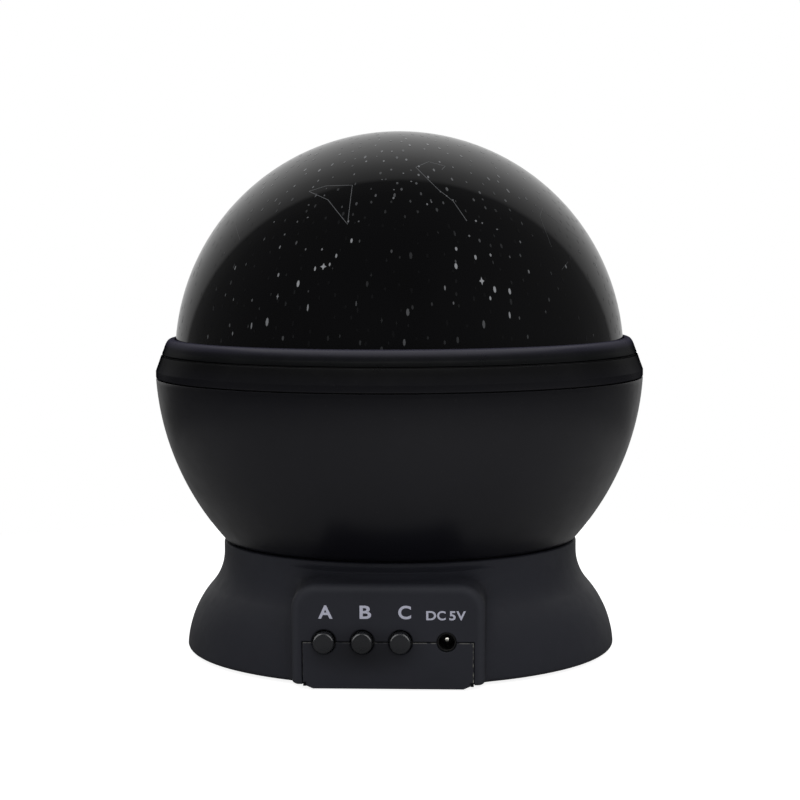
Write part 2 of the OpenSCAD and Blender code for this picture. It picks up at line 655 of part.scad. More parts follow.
module gear_plate() color([0.75, 0.72, 0.6]) difference() {
    translate([0, 0, plate_low]) linear_extrude(plate_t) union() {
        hull() {
            translate([idler_x, 0]) circle(r = 4, $fn = 32);
            for (p = plate_posts) translate(p) circle(r = 3, $fn = 32);
        }
        translate(motor_xy) circle(r = motor_r - 0.4);
    }
    for (p = plate_posts) translate([p[0], p[1], plate_low - 1]) cylinder(r = small_screw_r + 0.15, h = plate_t + 2);
    translate([idler_x, 0, plate_low - 1]) cylinder(r = axle_r + screw_gap, h = plate_t + 2);
    translate([motor_xy[0], motor_xy[1], plate_low - 1]) cylinder(r = motor_boss_r + 0.1, h = plate_t + 2);
    for (s = [-1, 1]) translate([motor_xy[0] + s * motor_screw_reach, motor_xy[1], plate_low - 1])
        cylinder(r = small_screw_r + 0.15, h = plate_t + 2);
}

module plate_screws() color("silver")
    for (p = plate_posts) translate([p[0], p[1], plate_low - small_head_h]) small_screw(small_head_h + plate_t + 4);

module motor() color([0.7, 0.7, 0.72]) translate([motor_xy[0], motor_xy[1], 0]) difference() {
    union() {
        translate([0, 0, plate_low - motor_h]) rotate_extrude() polygon(concat([[0, 0]],
            arc([motor_r - 0.8, 0.8], 0.8, -90, 0, 4), arc([motor_r - 0.8, motor_h - 0.8], 0.8, 0, 90, 4), [[0, motor_h]]));
        translate([0, 0, plate_low - eps]) cylinder(r = motor_boss_r, h = plate_t);
    }
    translate([0, 0, plate_low - 3]) cylinder(r = motor_shaft_r + axle_gap, h = 5);
    for (s = [-1, 1]) translate([s * motor_screw_reach, 0, plate_low - 3]) cylinder(r = small_screw_r + screw_gap, h = 4);
}

module motor_screws() color("silver")
    for (s = [-1, 1]) translate([motor_xy[0] + s * motor_screw_reach, motor_xy[1], plate_top + 0.55])
        mirror([0, 0, 1]) screw(small_head_r, 0.55, small_screw_r, 0.55 + plate_t + 2.6);

module motor_cable() color("firebrick")
    for (s = [-1, 1]) translate([0, 0, s * (thin_cable_r + 0.05)]) tube(motor_route, thin_cable_r, [0, 0, 1]);

module motor_pinion() color("goldenrod") translate([motor_xy[0], motor_xy[1], 0]) {
    translate([0, 0, wheel_low - 0.2]) rotate(motor_turn) linear_extrude(wheel_face + 0.6)
        polygon(gear_points(motor_teeth, motor_module));
    translate([0, 0, plate_low - 2.8]) cylinder(r = motor_shaft_r, h = wheel_low - plate_low + 2.8);
}

// A large wheel and a small pinion moulded as one, free on a steel axle
module idler_gear() color([0.92, 0.9, 0.84]) translate([idler_x, 0, 0]) difference() {
    union() {
        translate([0, 0, wheel_low]) linear_extrude(wheel_face) polygon(gear_points(wheel_teeth, motor_module));
        translate([0, 0, wheel_low + wheel_face - eps]) rotate(180 / pinion_teeth)
            linear_extrude(spindle_end - 0.2 - wheel_low - wheel_face) polygon(gear_points(pinion_teeth, ring_module));
        translate([0, 0, plate_top + 0.1]) cylinder(r = 2.2, h = wheel_low - plate_top);
    }
    translate([0, 0, plate_low]) cylinder(r = axle_r + axle_gap, h = 12);
    for (a = [0:72:359]) rotate(a) translate([6.6, 0, wheel_low - 1]) cylinder(r = 1.5, h = wheel_face + 2);
}

module idler_axle() color("silver") translate([idler_x, 0, plate_low]) cylinder(r = axle_r, h = deck_low + 1.3 - plate_low);

module glide_washer() color([0.9, 0.9, 0.88]) translate([0, 0, deck_top]) difference() {
    cylinder(r = spindle_r + 10, h = washer_t);
    translate([0, 0, -1]) cylinder(r = spindle_r + 2, h = washer_t + 2);
}

// ---- Lamp ----

module lamp_column() color([0.9, 0.9, 0.88]) difference() {
    union() {
        translate([0, 0, bay_top]) cylinder(r = column_r, h = board2_z - bay_top);
        translate([0, 0, column_flange_z]) cylinder(r = column_flange_r, h = column_flange_t);
    }
    translate([0, 0, bay_top - 1]) cylinder(r = column_in, h = board2_z - bay_top + 2);
    block([-1.8, -column_r - 6, bay_top - 1], [1.8, 0, column_flange_z]);
    for (a = column_screw_angles) rotate(a) translate([column_screw_ring, 0, column_flange_z - 1])
        cylinder(r = small_screw_r + 0.15, h = column_flange_t + 2);
}

module column_screws() color("silver")
    for (a = column_screw_angles) rotate(a)
        translate([column_screw_ring, 0, column_flange_z + column_flange_t + small_head_h]) mirror([0, 0, 1])
            small_screw(small_head_h + column_flange_t + 2.4);

module led_board() color([0.95, 0.95, 0.93]) translate([0, 0, board2_z]) cylinder(r = column_r - 0.2, h = led_board_t);

module leds() color([0.95, 0.97, 1, 0.7])
    for (a = [45:90:315]) rotate(a) translate([led_ring_r, 0, board2_z + led_board_t]) rotate_extrude()
        polygon(concat([[0, 0], [led_r + 0.4, 0], [led_r + 0.4, 1], [led_r, 1]],
            arc([0, led_body_h], led_r, 0, 90, 8)));

module lamp_lens() color([0.9, 0.95, 1, 0.4]) rotate_extrude() {
    top = lens_high - lens_low;
    bulge = 6;
    translate([0, lens_low]) polygon(concat(
        [[lens_r - lens_wall, 0], [lens_r, 0]],
        [for (i = [0:10]) [lens_r * cos(9 * i), top + bulge * sin(9 * i)]],
        [for (i = [10:-1:0]) [(lens_r - lens_wall) * cos(9 * i), top + (bulge - lens_wall) * sin(9 * i)]]));
}

module led_cable() color("khaki")
    tube([for (p = led_route_y) [0, p[0], bay_top + 1.3 + p[1] * (board2_z - bay_top - 1.5) / 34]], cable_r, [1, 0, 0]);

// ---- Bowl ----

module bowl() color([0.12, 0.12, 0.13]) difference() {
    union() {
        rotate_extrude() polygon(concat(
            [[spindle_in, bowl_low], [bowl_plug_r, bowl_low], [bowl_plug_r, bowl_foot[1]]],
            bowl_side(0, bowl_foot[1], seam_z),
            [[tongue_r + tongue_t + 0.1, seam_z], [tongue_r + tongue_t + 0.1, seam_z - tongue_h - 0.1], [tongue_r, seam_z - tongue_h - 0.1]],
            [for (i = [20:-1:0]) bowl_side(bowl_wall, bowl_floor, seam_z - tongue_h - 0.1)[i]],
            [[spindle_in, bowl_floor]]));
        translate([0, 0, spindle_end]) cylinder(r = spindle_r, h = bowl_floor + 3 - spindle_end);
        for (a = [30, 150, 270]) rotate(a) translate([tray_post_ring, 0, bowl_floor - eps])
            cylinder(r = tray_post_r, h = tray_height(tray_post_ring) - tray_t - 1.4 - bowl_floor);
        for (a = [0:60:359]) rotate(a)
            block([spindle_r - 1, -0.7, bowl_floor - eps], [neck_r - 6, 0.7, bowl_floor + 2.5]);
    }
    translate([0, 0, spindle_end - 1]) cylinder(r = spindle_in, h = 30);
    for (a = [0, 120, 240]) rotate(a) translate([ring_screw_ring, 0, spindle_end - 1])
        cylinder(r = small_screw_r + screw_gap, h = 6);
    for (a = [30, 150, 270]) rotate(a) translate([tray_post_ring, 0, tray_height(tray_post_ring) - tray_t - 10])
        cylinder(r = small_screw_r + screw_gap, h = 12);
}

module ring_gear() color([0.92, 0.9, 0.84]) difference() {
    gear(ring_teeth, ring_module, ring_low, ring_face, ring_bore_r);
    for (a = [0, 120, 240]) rotate(a) translate([ring_screw_ring, 0, ring_low - 1]) {
        cylinder(r = small_screw_r + 0.15, h = ring_face + 2);
        cylinder(r = small_head_r + 0.1, h = 1 + small_head_h + 0.1);
    }
}

module ring_gear_screws() color("silver")
    for (a = [0, 120, 240]) rotate(a) translate([ring_screw_ring, 0, ring_low + 0.1]) small_screw(ring_face + 4);

module reflector_tray() color([0.93, 0.93, 0.91]) difference() {
    steps = 16;
    rs = [for (i = [0:steps]) tray_hole_r + (tray_edge_r - tray_hole_r) * i / steps];
    union() {
        rotate_extrude() polygon(concat(
            [for (r = rs) [r, tray_height(r) - tray_t]],
            [[tray_edge_r, tray_height(tray_edge_r) + 1]],
            [[tray_edge_r - 1, tray_height(tray_edge_r) + 1]],
            [for (i = [steps - 1:-1:0]) [rs[i], tray_height(rs[i])]]));
        for (a = [30, 150, 270]) rotate(a) translate([tray_post_ring, 0, tray_height(tray_post_ring) - tray_t - 1.4])
            cylinder(r = tray_post_r, h = 2.6);
    }
    for (a = [30, 150, 270]) rotate(a) translate([tray_post_ring, 0, tray_height(tray_post_ring) - 8])
    {
        cylinder(r = small_screw_r + 0.15, h = 12);
        translate([0, 0, 9.2 - tray_t]) cylinder(r = small_head_r + 0.4, h = 4);
    }
}

module tray_screws() color("silver")
    for (a = [30, 150, 270]) rotate(a)
        translate([tray_post_ring, 0, tray_height(tray_post_ring) - tray_t + 1.2 + small_head_h]) mirror([0, 0, 1])
            small_screw(small_head_h + 7);

// ---- Rim, lock and dome ----

module rim_ring() color([0.07, 0.07, 0.08]) difference() {
    union() {
        rotate_extrude() polygon([
            [ledge_r, seam_z], [tongue_r + 0.05, seam_z], [tongue_r + 0.05, seam_z - tongue_h],
            [tongue_r + tongue_t, seam_z - tongue_h], [tongue_r + tongue_t, seam_z],
            [body_r, seam_z], [body_r, seam_z + rim_straight], [body_r - 0.75, seam_z + (rim_straight + rim_h) / 2],
            [collar_out_r + 0.1, rim_z], [seal_r + seal_gap, rim_z], [seal_r + seal_gap, rim_z - seal_t], [seal_in - seal_gap, rim_z - seal_t],
            [seal_in - seal_gap, rim_z], [ledge_r, rim_z]]);
        stop_r = bowl_side(bowl_wall, lug_top - lug_t * 0.8, lug_top)[0][0] - 0.3;
        for (i = [0:lug_count - 1])
            wedge_ring(ledge_r, min(stop_r, tongue_r - 0.5), lug_top - lug_t * 0.8, seam_z + eps,
                360 * i / lug_count - lock_angle - lug_angle / 2 - 3.5, 4);
    }
    for (i = [0:lug_count - 1])
        wedge_ring(ledge_r - 1, notch_r, seam_z - 1, rim_z + 1, 360 * i / lug_count, notch_angle);
}

module dome_seal() color([0.25, 0.25, 0.25]) translate([0, 0, rim_z - seal_t]) difference() {
    cylinder(r = seal_r, h = seal_t - 0.02);
    translate([0, 0, -1]) cylinder(r = seal_in, h = seal_t + 2);
}

module dome_collar() color([0.07, 0.07, 0.08]) {
    rotate_extrude() polygon(concat(
        [[skirt_in, skirt_low], [skirt_r, skirt_low], [skirt_r, rim_z], [collar_out_r, rim_z]],
        arc([collar_top_r - 1, collar_z - 1], 1, 25, 90, 6),
        [[skirt_in + 0.02, collar_z - 0.1], [skirt_in, dome_z - dome_skirt - seat_gap],
            [dome_r - dome_wall, dome_z - dome_skirt - seat_gap], [dome_r - dome_wall, dome_z - dome_skirt - shelf_t],
            [skirt_in, dome_z - dome_skirt - shelf_t]]));
    for (i = [0:lug_count - 1])
        wedge_ring(skirt_r - 0.3, lug_r, skirt_low, lug_top, 360 * i / lug_count, lug_angle);
}

module star_dome() color([0.03, 0.03, 0.04]) rotate_extrude() polygon(concat(
    [[dome_r - dome_wall, dome_z - dome_skirt], [dome_r, dome_z - dome_skirt]],
    arc([0, dome_z], dome_r, 0, 90, 30),
    arc([0, dome_z], dome_r - dome_wall, 90, 0, 30)));

base_shell();
bottom_cover();
battery_door();
rubber_feet();
cover_screws();
battery_cells();
battery_springs();
battery_contacts();
battery_cable();
main_board();
board_components();
board_screws();
tact_switches();
dc_jack();
jack_pin();
button_a();
button_b();
button_c();
gear_plate();
plate_screws();
motor();
motor_screws();
motor_cable();
motor_pinion();
idler_gear();
idler_axle();
glide_washer();
lamp_column();
column_screws();
led_board();
leds();
lamp_lens();
led_cable();
bowl();
ring_gear();
ring_gear_screws();
reflector_tray();
tray_screws();
rim_ring();
dome_seal();
dome_collar();
star_dome();
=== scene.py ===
# Star projector lamp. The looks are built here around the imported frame, in metres.
import json
import math
import bpy
import bmesh
import numpy as np
from mathutils import Matrix, Vector

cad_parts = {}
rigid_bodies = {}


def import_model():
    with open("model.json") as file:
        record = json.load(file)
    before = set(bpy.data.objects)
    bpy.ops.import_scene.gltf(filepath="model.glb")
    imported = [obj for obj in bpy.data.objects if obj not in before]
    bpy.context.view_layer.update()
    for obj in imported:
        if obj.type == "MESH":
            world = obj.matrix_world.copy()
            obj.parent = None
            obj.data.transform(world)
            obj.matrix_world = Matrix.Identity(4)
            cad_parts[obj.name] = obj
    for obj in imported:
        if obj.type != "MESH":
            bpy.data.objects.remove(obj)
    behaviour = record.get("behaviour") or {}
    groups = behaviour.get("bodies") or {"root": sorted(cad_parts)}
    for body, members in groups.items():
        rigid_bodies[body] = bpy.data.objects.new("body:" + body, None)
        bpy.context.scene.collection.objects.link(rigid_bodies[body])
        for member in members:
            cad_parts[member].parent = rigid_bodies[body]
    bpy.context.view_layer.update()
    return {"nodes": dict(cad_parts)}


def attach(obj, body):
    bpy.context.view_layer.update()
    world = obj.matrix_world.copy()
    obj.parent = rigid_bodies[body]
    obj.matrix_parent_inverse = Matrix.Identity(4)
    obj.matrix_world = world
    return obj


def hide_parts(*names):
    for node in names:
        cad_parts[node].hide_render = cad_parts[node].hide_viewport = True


mm = 0.001
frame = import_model()
nodes = frame["nodes"]
scene = bpy.context.scene
print("frame loaded,", len(nodes), "nodes")

# The lamp's main sizes in millimetres, as packed
plan = {"edgeZ": 0.6, "neckZ": 28.2, "domeZ": 75.1, "domeR": 57.6, "neckR": 45.5, "footR": 55.1, "panelY": 56.0,
        "splitZ": 11.4}
ringSteps = 256  # round the larger turned pieces


# Small helpers for pieces and meshes. Points are in millimetres, angles in degrees.

def shown(name, data):  # an object in the scene
    piece = bpy.data.objects.new(name, data)
    scene.collection.objects.link(piece)
    return piece


def placed(name, mesh, body, replaced=()):
    piece = shown(name, mesh)
    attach(piece, body)
    if replaced:
        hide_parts(*replaced)
    return piece


def plainMesh(piece):  # what an object's modifiers or text come to; the object itself goes
    bpy.context.view_layer.update()
    mesh = bpy.data.meshes.new_from_object(piece.evaluated_get(bpy.context.evaluated_depsgraph_get()))
    piece.modifiers.clear()
    bpy.data.objects.remove(piece)
    return mesh


def carved(mesh, cutter):  # the mesh less the cutter, both closed
    piece, tool = shown("carved", mesh), shown("cutter", cutter)
    cut = piece.modifiers.new("cut", "BOOLEAN")
    cut.operation, cut.solver, cut.object = "DIFFERENCE", "EXACT", tool
    result = plainMesh(piece)
    bpy.data.objects.remove(tool)
    return result


def smoothed(mesh, angle=32, outward=True):
    work = bmesh.new()
    work.from_mesh(mesh)
    bmesh.ops.remove_doubles(work, verts=work.verts, dist=1e-7)
    bmesh.ops.dissolve_degenerate(work, edges=work.edges, dist=1e-8)
    if outward:
        bmesh.ops.recalc_face_normals(work, faces=work.faces)
    work.to_mesh(mesh)
    work.free()
    mesh.shade_smooth()
    mesh.set_sharp_from_angle(angle=math.radians(angle))
    return mesh


def meshFrom(name, points, faces, surface=None):
    mesh = bpy.data.meshes.new(name)
    mesh.from_pydata([tuple(c * mm for c in p) for p in points], [], faces)
    if surface:
        mesh.materials.append(surface)
    return mesh


def joined(name, meshes):
    work = bmesh.new()
    for mesh in meshes:
        work.from_mesh(mesh)
    for face in work.faces:
        face.material_index = 0
    result = bpy.data.meshes.new(name)
    work.to_mesh(result)
    work.free()
    for material in list(meshes[0].materials)[-1:]:
        result.materials.append(material)
    return result


def marked(mesh, name, values, domain="POINT"):  # a number for each point or face, which the surfaces read
    mesh.attributes.new(name, "FLOAT", domain).data.foreach_set("value", values)
    return mesh


def loft(name, rings, surface=None, closed=False):  # rings of equally many points; the ends are capped if not closed
    count, size = len(rings), len(rings[0])
    faces = [tuple((k + a) % count * size + (i + b) % size for a, b in ((0, 0), (1, 0), (1, 1), (0, 1)))
             for k in range(count if closed else count - 1) for i in range(size)]
    if not closed:
        faces += [tuple(range(size)), tuple(reversed(range((count - 1) * size, count * size)))]
    return meshFrom(name, [point for ring in rings for point in ring], faces, surface)


def blockMesh(name, low, high):
    corners = [(x, y, z) for x in (low[0], high[0]) for y in (low[1], high[1]) for z in (low[2], high[2])]
    faces = [(0, 1, 3, 2), (4, 6, 7, 5), (0, 4, 5, 1), (2, 3, 7, 6), (0, 2, 6, 4), (1, 5, 7, 3)]
    return meshFrom(name, corners, faces)


def rotated(angle, axis):
    return Matrix.Rotation(math.radians(angle), 4, axis)


def filleted(corners, steps=5):  # (radius, height) corners, with a fillet where a third number is given
    points = []
    for i, corner in enumerate(corners):
        here = Vector(corner[:2])
        if len(corner) < 3:
            points.append(tuple(here))
            continue
        before = (Vector(corners[i - 1][:2]) - here).normalized()
        after = (Vector(corners[(i + 1) % len(corners)][:2]) - here).normalized()
        half = before.angle(after) / 2
        centre = here + (before + after).normalized() * corner[2] / math.sin(half)
        first = here + before * corner[2] / math.tan(half) - centre
        last = here + after * corner[2] / math.tan(half) - centre
        start = math.atan2(first.y, first.x)
        turn = (math.atan2(last.y, last.x) - start + math.pi) % (2 * math.pi) - math.pi
        for k in range(steps + 1):
            angle = start + turn * k / steps
            points.append((centre.x + corner[2] * math.cos(angle), centre.y + corner[2] * math.sin(angle)))
    return points


def arcPoints(centre, radius, first, last, steps):  # the angles count from the outward direction
    angles = [math.radians(first + (last - first) * i / steps) for i in range(steps + 1)]
    return [(centre[0] + radius * math.cos(a), centre[1] + radius * math.sin(a)) for a in angles]


def bend(first, control, last, steps):  # a smooth curve between two points
    curve = []
    for i in range(steps + 1):
        t = i / steps
        curve.append(tuple((1 - t) ** 2 * a + 2 * t * (1 - t) * b + t * t * c for a, b, c in zip(first, control, last)))
    return curve


# Node trees: a socket given as an input is linked, and anything else becomes the input's own value

def fill(tree, node, inputs):
    for key, value in inputs.items():
        if isinstance(value, bpy.types.NodeSocket):
            tree.links.new(value, node.inputs[key])
        else:
            node.inputs[key].default_value = value


def addNode(tree, kind, inputs=None, **settings):
    node = tree.nodes.new(kind)
    for key, value in settings.items():
        setattr(node, key, value)
    fill(tree, node, inputs or {})
    return node


def outOf(tree, kind, inputs=None, output=0, **settings):  # a new node's output, by its number or name
    return addNode(tree, kind, inputs, **settings).outputs[output]


def maths(tree, operation, *values):
    return outOf(tree, "ShaderNodeMath", dict(enumerate(values)), operation=operation)


def vectorMaths(tree, operation, *values, output="Vector"):
    return outOf(tree, "ShaderNodeVectorMath", dict(enumerate(values)), output, operation=operation)


def ranged(tree, value, low, high, start=0.3, stop=0.7, kind="LINEAR"):  # start to stop becomes low to high
    return outOf(tree, "ShaderNodeMapRange", {"Value": value, "From Min": start, "From Max": stop, "To Min": low,
                                              "To Max": high}, interpolation_type=kind)


# Shapes made by node trees. Each tree takes a mesh, its own sizes and a surface.

def geometryTree(name, **sizes):
    tree = bpy.data.node_groups.new(name, "GeometryNodeTree")
    for label, kind in {"Geometry": "Geometry", **sizes, "Surface": "Material"}.items():
        tree.interface.new_socket(label, in_out="INPUT", socket_type="NodeSocket" + kind)
    tree.interface.new_socket("Geometry", in_out="OUTPUT", socket_type="NodeSocketGeometry")
    return tree, tree.nodes.new("NodeGroupInput").outputs


def endTree(tree, geometry, surface):
    dressed = outOf(tree, "GeometryNodeSetMaterial", {"Geometry": geometry, "Material": surface})
    addNode(tree, "NodeGroupOutput", {"Geometry": dressed})
    return tree


def turningTree():  # sweeps a profile round the axis
    tree, sizes = geometryTree("turned profile", Steps="Int")
    outline = outOf(tree, "GeometryNodeMeshToCurve", {"Mesh": sizes["Geometry"]})
    circle = outOf(tree, "GeometryNodeCurvePrimitiveCircle", {"Radius": mm, "Resolution": sizes["Steps"]})
    swept = outOf(tree, "GeometryNodeCurveToMesh", {"Curve": circle, "Profile Curve": outline})
    welded = outOf(tree, "GeometryNodeMergeByDistance", {"Geometry": swept, "Distance": 1e-7})
    return endTree(tree, outOf(tree, "GeometryNodeRealizeInstances", {"Geometry": welded}), sizes["Surface"])


def roundTree():  # copies a shape round the axis, for ribs and lugs
    tree, sizes = geometryTree("round the axis", Count="Int", Start="Float")
    share = maths(tree, "DIVIDE", outOf(tree, "GeometryNodeInputIndex"), sizes["Count"])
    angle = maths(tree, "MULTIPLY_ADD", share, 2 * math.pi, sizes["Start"])
    copies = outOf(tree, "GeometryNodeInstanceOnPoints", {
        "Points": outOf(tree, "GeometryNodePoints", {"Count": sizes["Count"]}), "Instance": sizes["Geometry"],
        "Rotation": outOf(tree, "ShaderNodeCombineXYZ", {"Z": angle})})
    return endTree(tree, outOf(tree, "GeometryNodeRealizeInstances", {"Geometry": copies}), sizes["Surface"])


turnedProfile = turningTree()
aroundAxis = roundTree()


def grown(name, mesh, tree, **values):  # runs a tree on a mesh and gives back a plain mesh
    holder = shown(name + ".base", mesh)
    modifier = holder.modifiers.new("grow", "NODES")
    modifier.node_group = tree
    for item in tree.interface.items_tree:
        if item.in_out == "INPUT" and item.name in values:
            modifier[item.identifier] = values[item.name]
    holder.update_tag()
    result = plainMesh(holder)
    result.name = name
    return result


def turned(name, profile, surface, steps=192, closed=True, angle=32):
    mesh = bpy.data.meshes.new(name + ".profile")
    points = [((r - 1) * mm, -z * mm, 0) for r, z in profile]
    edges = [(i, i + 1) for i in range(len(points) - 1)]
    if closed:
        edges.append((len(points) - 1, 0))
    mesh.from_pydata(points, edges, [])
    return smoothed(grown(name, mesh, turnedProfile, Steps=steps, Surface=surface), angle)


def repeated(name, mesh, count, firstAngle, surface):
    return smoothed(grown(name, mesh, aroundAxis, Count=count, Start=math.radians(firstAngle), Surface=surface))


def ringSegment(name, corners, middle, width, steps):  # an outline of (radius, height), swept part of the way round
    turns = [math.radians(middle - width / 2 + width * k / steps) for k in range(steps + 1)]
    return loft(name, [[(r * math.cos(a), r * math.sin(a), z) for r, z in corners] for a in turns])


# Surfaces. Each recipe gives the shader's inputs, from one dictionary for each look.

def paint(red, green, blue):  # a colour as read off a screen, 0 to 255
    return tuple(c / 255 / 12.92 if c < 10.3 else ((c / 255 + 0.055) / 1.055) ** 2.4 for c in (red, green, blue)) + (1,)


def grey(level):
    return (level, level, level, 1)


def tinted(colour, amount):
    return tuple(c * amount for c in colour[:3]) + (1,)


def newMaterial(name, recipe, *look):
    material = bpy.data.materials.new(name)
    material.use_nodes = True
    tree = material.node_tree
    tree.nodes.clear()
    shader = addNode(tree, "ShaderNodeBsdfPrincipled", recipe(tree, *look))
    addNode(tree, "ShaderNodeOutputMaterial", {"Surface": shader.outputs["BSDF"]})
    return material


def objectPlace(tree):
    return outOf(tree, "ShaderNodeTexCoord", output="Object")


def axisOf(tree, vector, axis):
    return outOf(tree, "ShaderNodeSeparateXYZ", {"Vector": vector}, axis)


def attributeOf(tree, name):
    return outOf(tree, "ShaderNodeAttribute", output="Fac", attribute_name=name)


def objectNoise(tree, size, detail=2.0, rough=0.5, stretch=(1, 1, 1)):  # size of one feature in millimetres
    where = outOf(tree, "ShaderNodeMapping", {"Vector": objectPlace(tree), "Scale": stretch})
    return outOf(tree, "ShaderNodeTexNoise", {"Vector": where, "Scale": 1 / (size * mm), "Detail": detail,
                                              "Roughness": rough}, "Fac")


def mixed(tree, factor, first, second, blend="MIX"):
    return outOf(tree, "ShaderNodeMix", {0: factor, 6: first, 7: second}, 2, data_type="RGBA", blend_type=blend)


def mottled(tree, noise, first, second):  # from one colour to the other, as the noise rises
    return mixed(tree, ranged(tree, noise, 0, 1), first, second)


def bumped(tree, height, strength, distance, **more):
    return outOf(tree, "ShaderNodeBump", {"Strength": strength, "Distance": distance * mm, "Height": height, **more})


def toneRamp(tree, factor, stops):  # stops of (position, colour)
    node = addNode(tree, "ShaderNodeValToRGB", {"Fac": factor})
    elements = node.color_ramp.elements
    while len(elements) < len(stops):
        elements.new(0.5)
    for element, (position, colour) in zip(elements, stops):
        element.position = position
        element.color = colour
    return node.outputs["Color"]


def mouldedPlastic(tree, look):
    colour = paint(*look["colour"])
    patches = objectNoise(tree, look["patchSize"], 3)
    shade = mottled(tree, patches, tinted(colour, 1 - look["mottle"]), tinted(colour, 1 + look["mottle"]))
    dust = ranged(tree, objectNoise(tree, look["speckSize"], 1), 0, look["dust"], 0.72, 0.8)
    shade = mixed(tree, dust, shade, paint(*look["dustColour"]))
    for middle, reach, amount in look["paintedShade"]:  # painted shade: soft dark ovals where shade falls
        local = outOf(tree, "ShaderNodeMapping", {
            "Vector": objectPlace(tree), "Location": [-m / r for m, r in zip(middle, reach)],
            "Scale": [1 / (r * mm) for r in reach]})
        away = vectorMaths(tree, "LENGTH", local, output="Value")
        shade = mixed(tree, ranged(tree, away, amount, 0, 0.1, 1.1, "SMOOTHSTEP"), shade, grey(0))
    if "paintedHeightTones" in look:  # painted light and shade: a tone added for each height
        low, high = look["paintedHeightTones"][0][0], look["paintedHeightTones"][-1][0]
        height = ranged(tree, axisOf(tree, objectPlace(tree), "Z"), 0, 1, low * mm, high * mm)
        paintedTones = toneRamp(tree, height, [((z - low) / (high - low), paint(*tone)) for z, tone in look["paintedHeightTones"]])
        shade = mixed(tree, 1.0, shade, paintedTones, "ADD")
    if "paintedCrestLight" in look:  # painted highlight: a lighter tone where the mesh is marked as a rounded edge
        shade = mixed(tree, attributeOf(tree, "paintedCrestLight"), shade, paint(*look["paintedCrestLight"]))
    if "wear" in look:  # pale flecks where the mesh is marked as worn
        flecks = ranged(tree, objectNoise(tree, 1.1, 3, 0.7), 0, 1, 0.42, 0.58)
        worn = maths(tree, "MULTIPLY", attributeOf(tree, "wear"), flecks)
        shade = mixed(tree, worn, shade, paint(*look["wear"]))
    shine = look["specular"]
    if "softSides" in look:  # the shine fades where the surface turns away, as on a matt finish
        *reach, power = look["softSides"]
        aside = outOf(tree, "ShaderNodeLayerWeight", {"Blend": 0.5}, "Facing")
        shine = maths(tree, "MULTIPLY", maths(tree, "POWER", ranged(tree, aside, 1, 0, *reach), power), shine)
    soft = outOf(tree, "ShaderNodeBevel", {"Radius": look["softEdge"] * mm}, samples=4)
    grain = objectNoise(tree, look["grainSize"], 2, 0.6)
    return {"Base Color": shade, "Specular IOR Level": shine,
            "Roughness": ranged(tree, objectNoise(tree, look["rubSize"], 4, 0.6), *look["roughness"]),
            "Normal": bumped(tree, grain, look["grain"], look["grainSize"] * 0.2, Normal=soft),
            "Subsurface Weight": look["glowDepth"], "Subsurface Radius": (1.5 * mm, 1.2 * mm, 1.0 * mm)}


def bareMetal(tree, look):
    colour = paint(*look["colour"])
    brushed = objectNoise(tree, look["grainSize"], 3, 0.6, look["stretch"])
    return {"Base Color": mottled(tree, brushed, tinted(colour, 0.82), tinted(colour, 1.05)), "Metallic": 1,
            "Roughness": ranged(tree, brushed, *look["roughness"]),
            "Normal": bumped(tree, brushed, look["grain"], 0.02)}


def clearMoulding(tree):
    ripple = objectNoise(tree, 5, 2)
    return {"Base Color": mixed(tree, ripple, paint(236, 244, 250), paint(248, 250, 252)), "IOR": 1.49,
            "Roughness": ranged(tree, objectNoise(tree, 2, 3), 0.04, 0.12), "Transmission Weight": 1,
            "Normal": bumped(tree, ripple, 0.25, 0.05)}


def circuitBoard(tree):  # solder mask with lighter tracks
    tracks = outOf(tree, "ShaderNodeTexVoronoi", {"Vector": objectPlace(tree), "Scale": 420}, "Distance",
                   distance="MANHATTAN", feature="DISTANCE_TO_EDGE")
    line = ranged(tree, tracks, 1, 0, 0.03, 0.06)
    mask = mottled(tree, objectNoise(tree, 4, 2), paint(20, 78, 48), paint(26, 92, 56))
    return {"Base Color": mixed(tree, line, mask, paint(58, 132, 84)), "Normal": bumped(tree, line, 0.3, 0.03),
            "Roughness": ranged(tree, objectNoise(tree, 2, 2), 0.25, 0.4)}


def cellSleeve(tree):  # plain printed sleeve: graphite with a copper end
    wobble = ranged(tree, objectNoise(tree, 3, 2), -0.2 * mm, 0.2 * mm)
    place = maths(tree, "ADD", axisOf(tree, objectPlace(tree), "Y"), wobble)
    end = ranged(tree, place, 0, 1, 9.9 * mm, 10.1 * mm)
    return {"Base Color": mixed(tree, end, paint(46, 48, 52), paint(176, 116, 74)), "Metallic": 0.6,
            "Roughness": ranged(tree, objectNoise(tree, 2, 3), 0.25, 0.42)}


def skyPrintAndLight(tree):  # the dome's own gloss, with pale print where glow and tone are high; the tone is partly painted light, standing in for the lit inside seen through the marks
    gloss = plasticLooks["domeGloss"]
    soft = ranged(tree, attributeOf(tree, "glow"), 0, 1, 0, 0.9, "SMOOTHSTEP")
    speckle = ranged(tree, objectNoise(tree, 0.25, 2), 0.8, 1.0)
    cover = maths(tree, "MULTIPLY", maths(tree, "MULTIPLY", soft, attributeOf(tree, "tone")), speckle)
    return {"Base Color": mixed(tree, cover, paint(*gloss["colour"]), paint(226, 229, 234)),
            "Roughness": ranged(tree, objectNoise(tree, gloss["rubSize"], 4, 0.6), *gloss["roughness"])}


def letterPrint(tree):
    worn = ranged(tree, objectNoise(tree, 0.35, 3, 0.7), 0, 0.28, 0.5, 0.75)
    return {"Base Color": mixed(tree, worn, paint(180, 181, 197), paint(80, 82, 92)), "Roughness": 0.55}


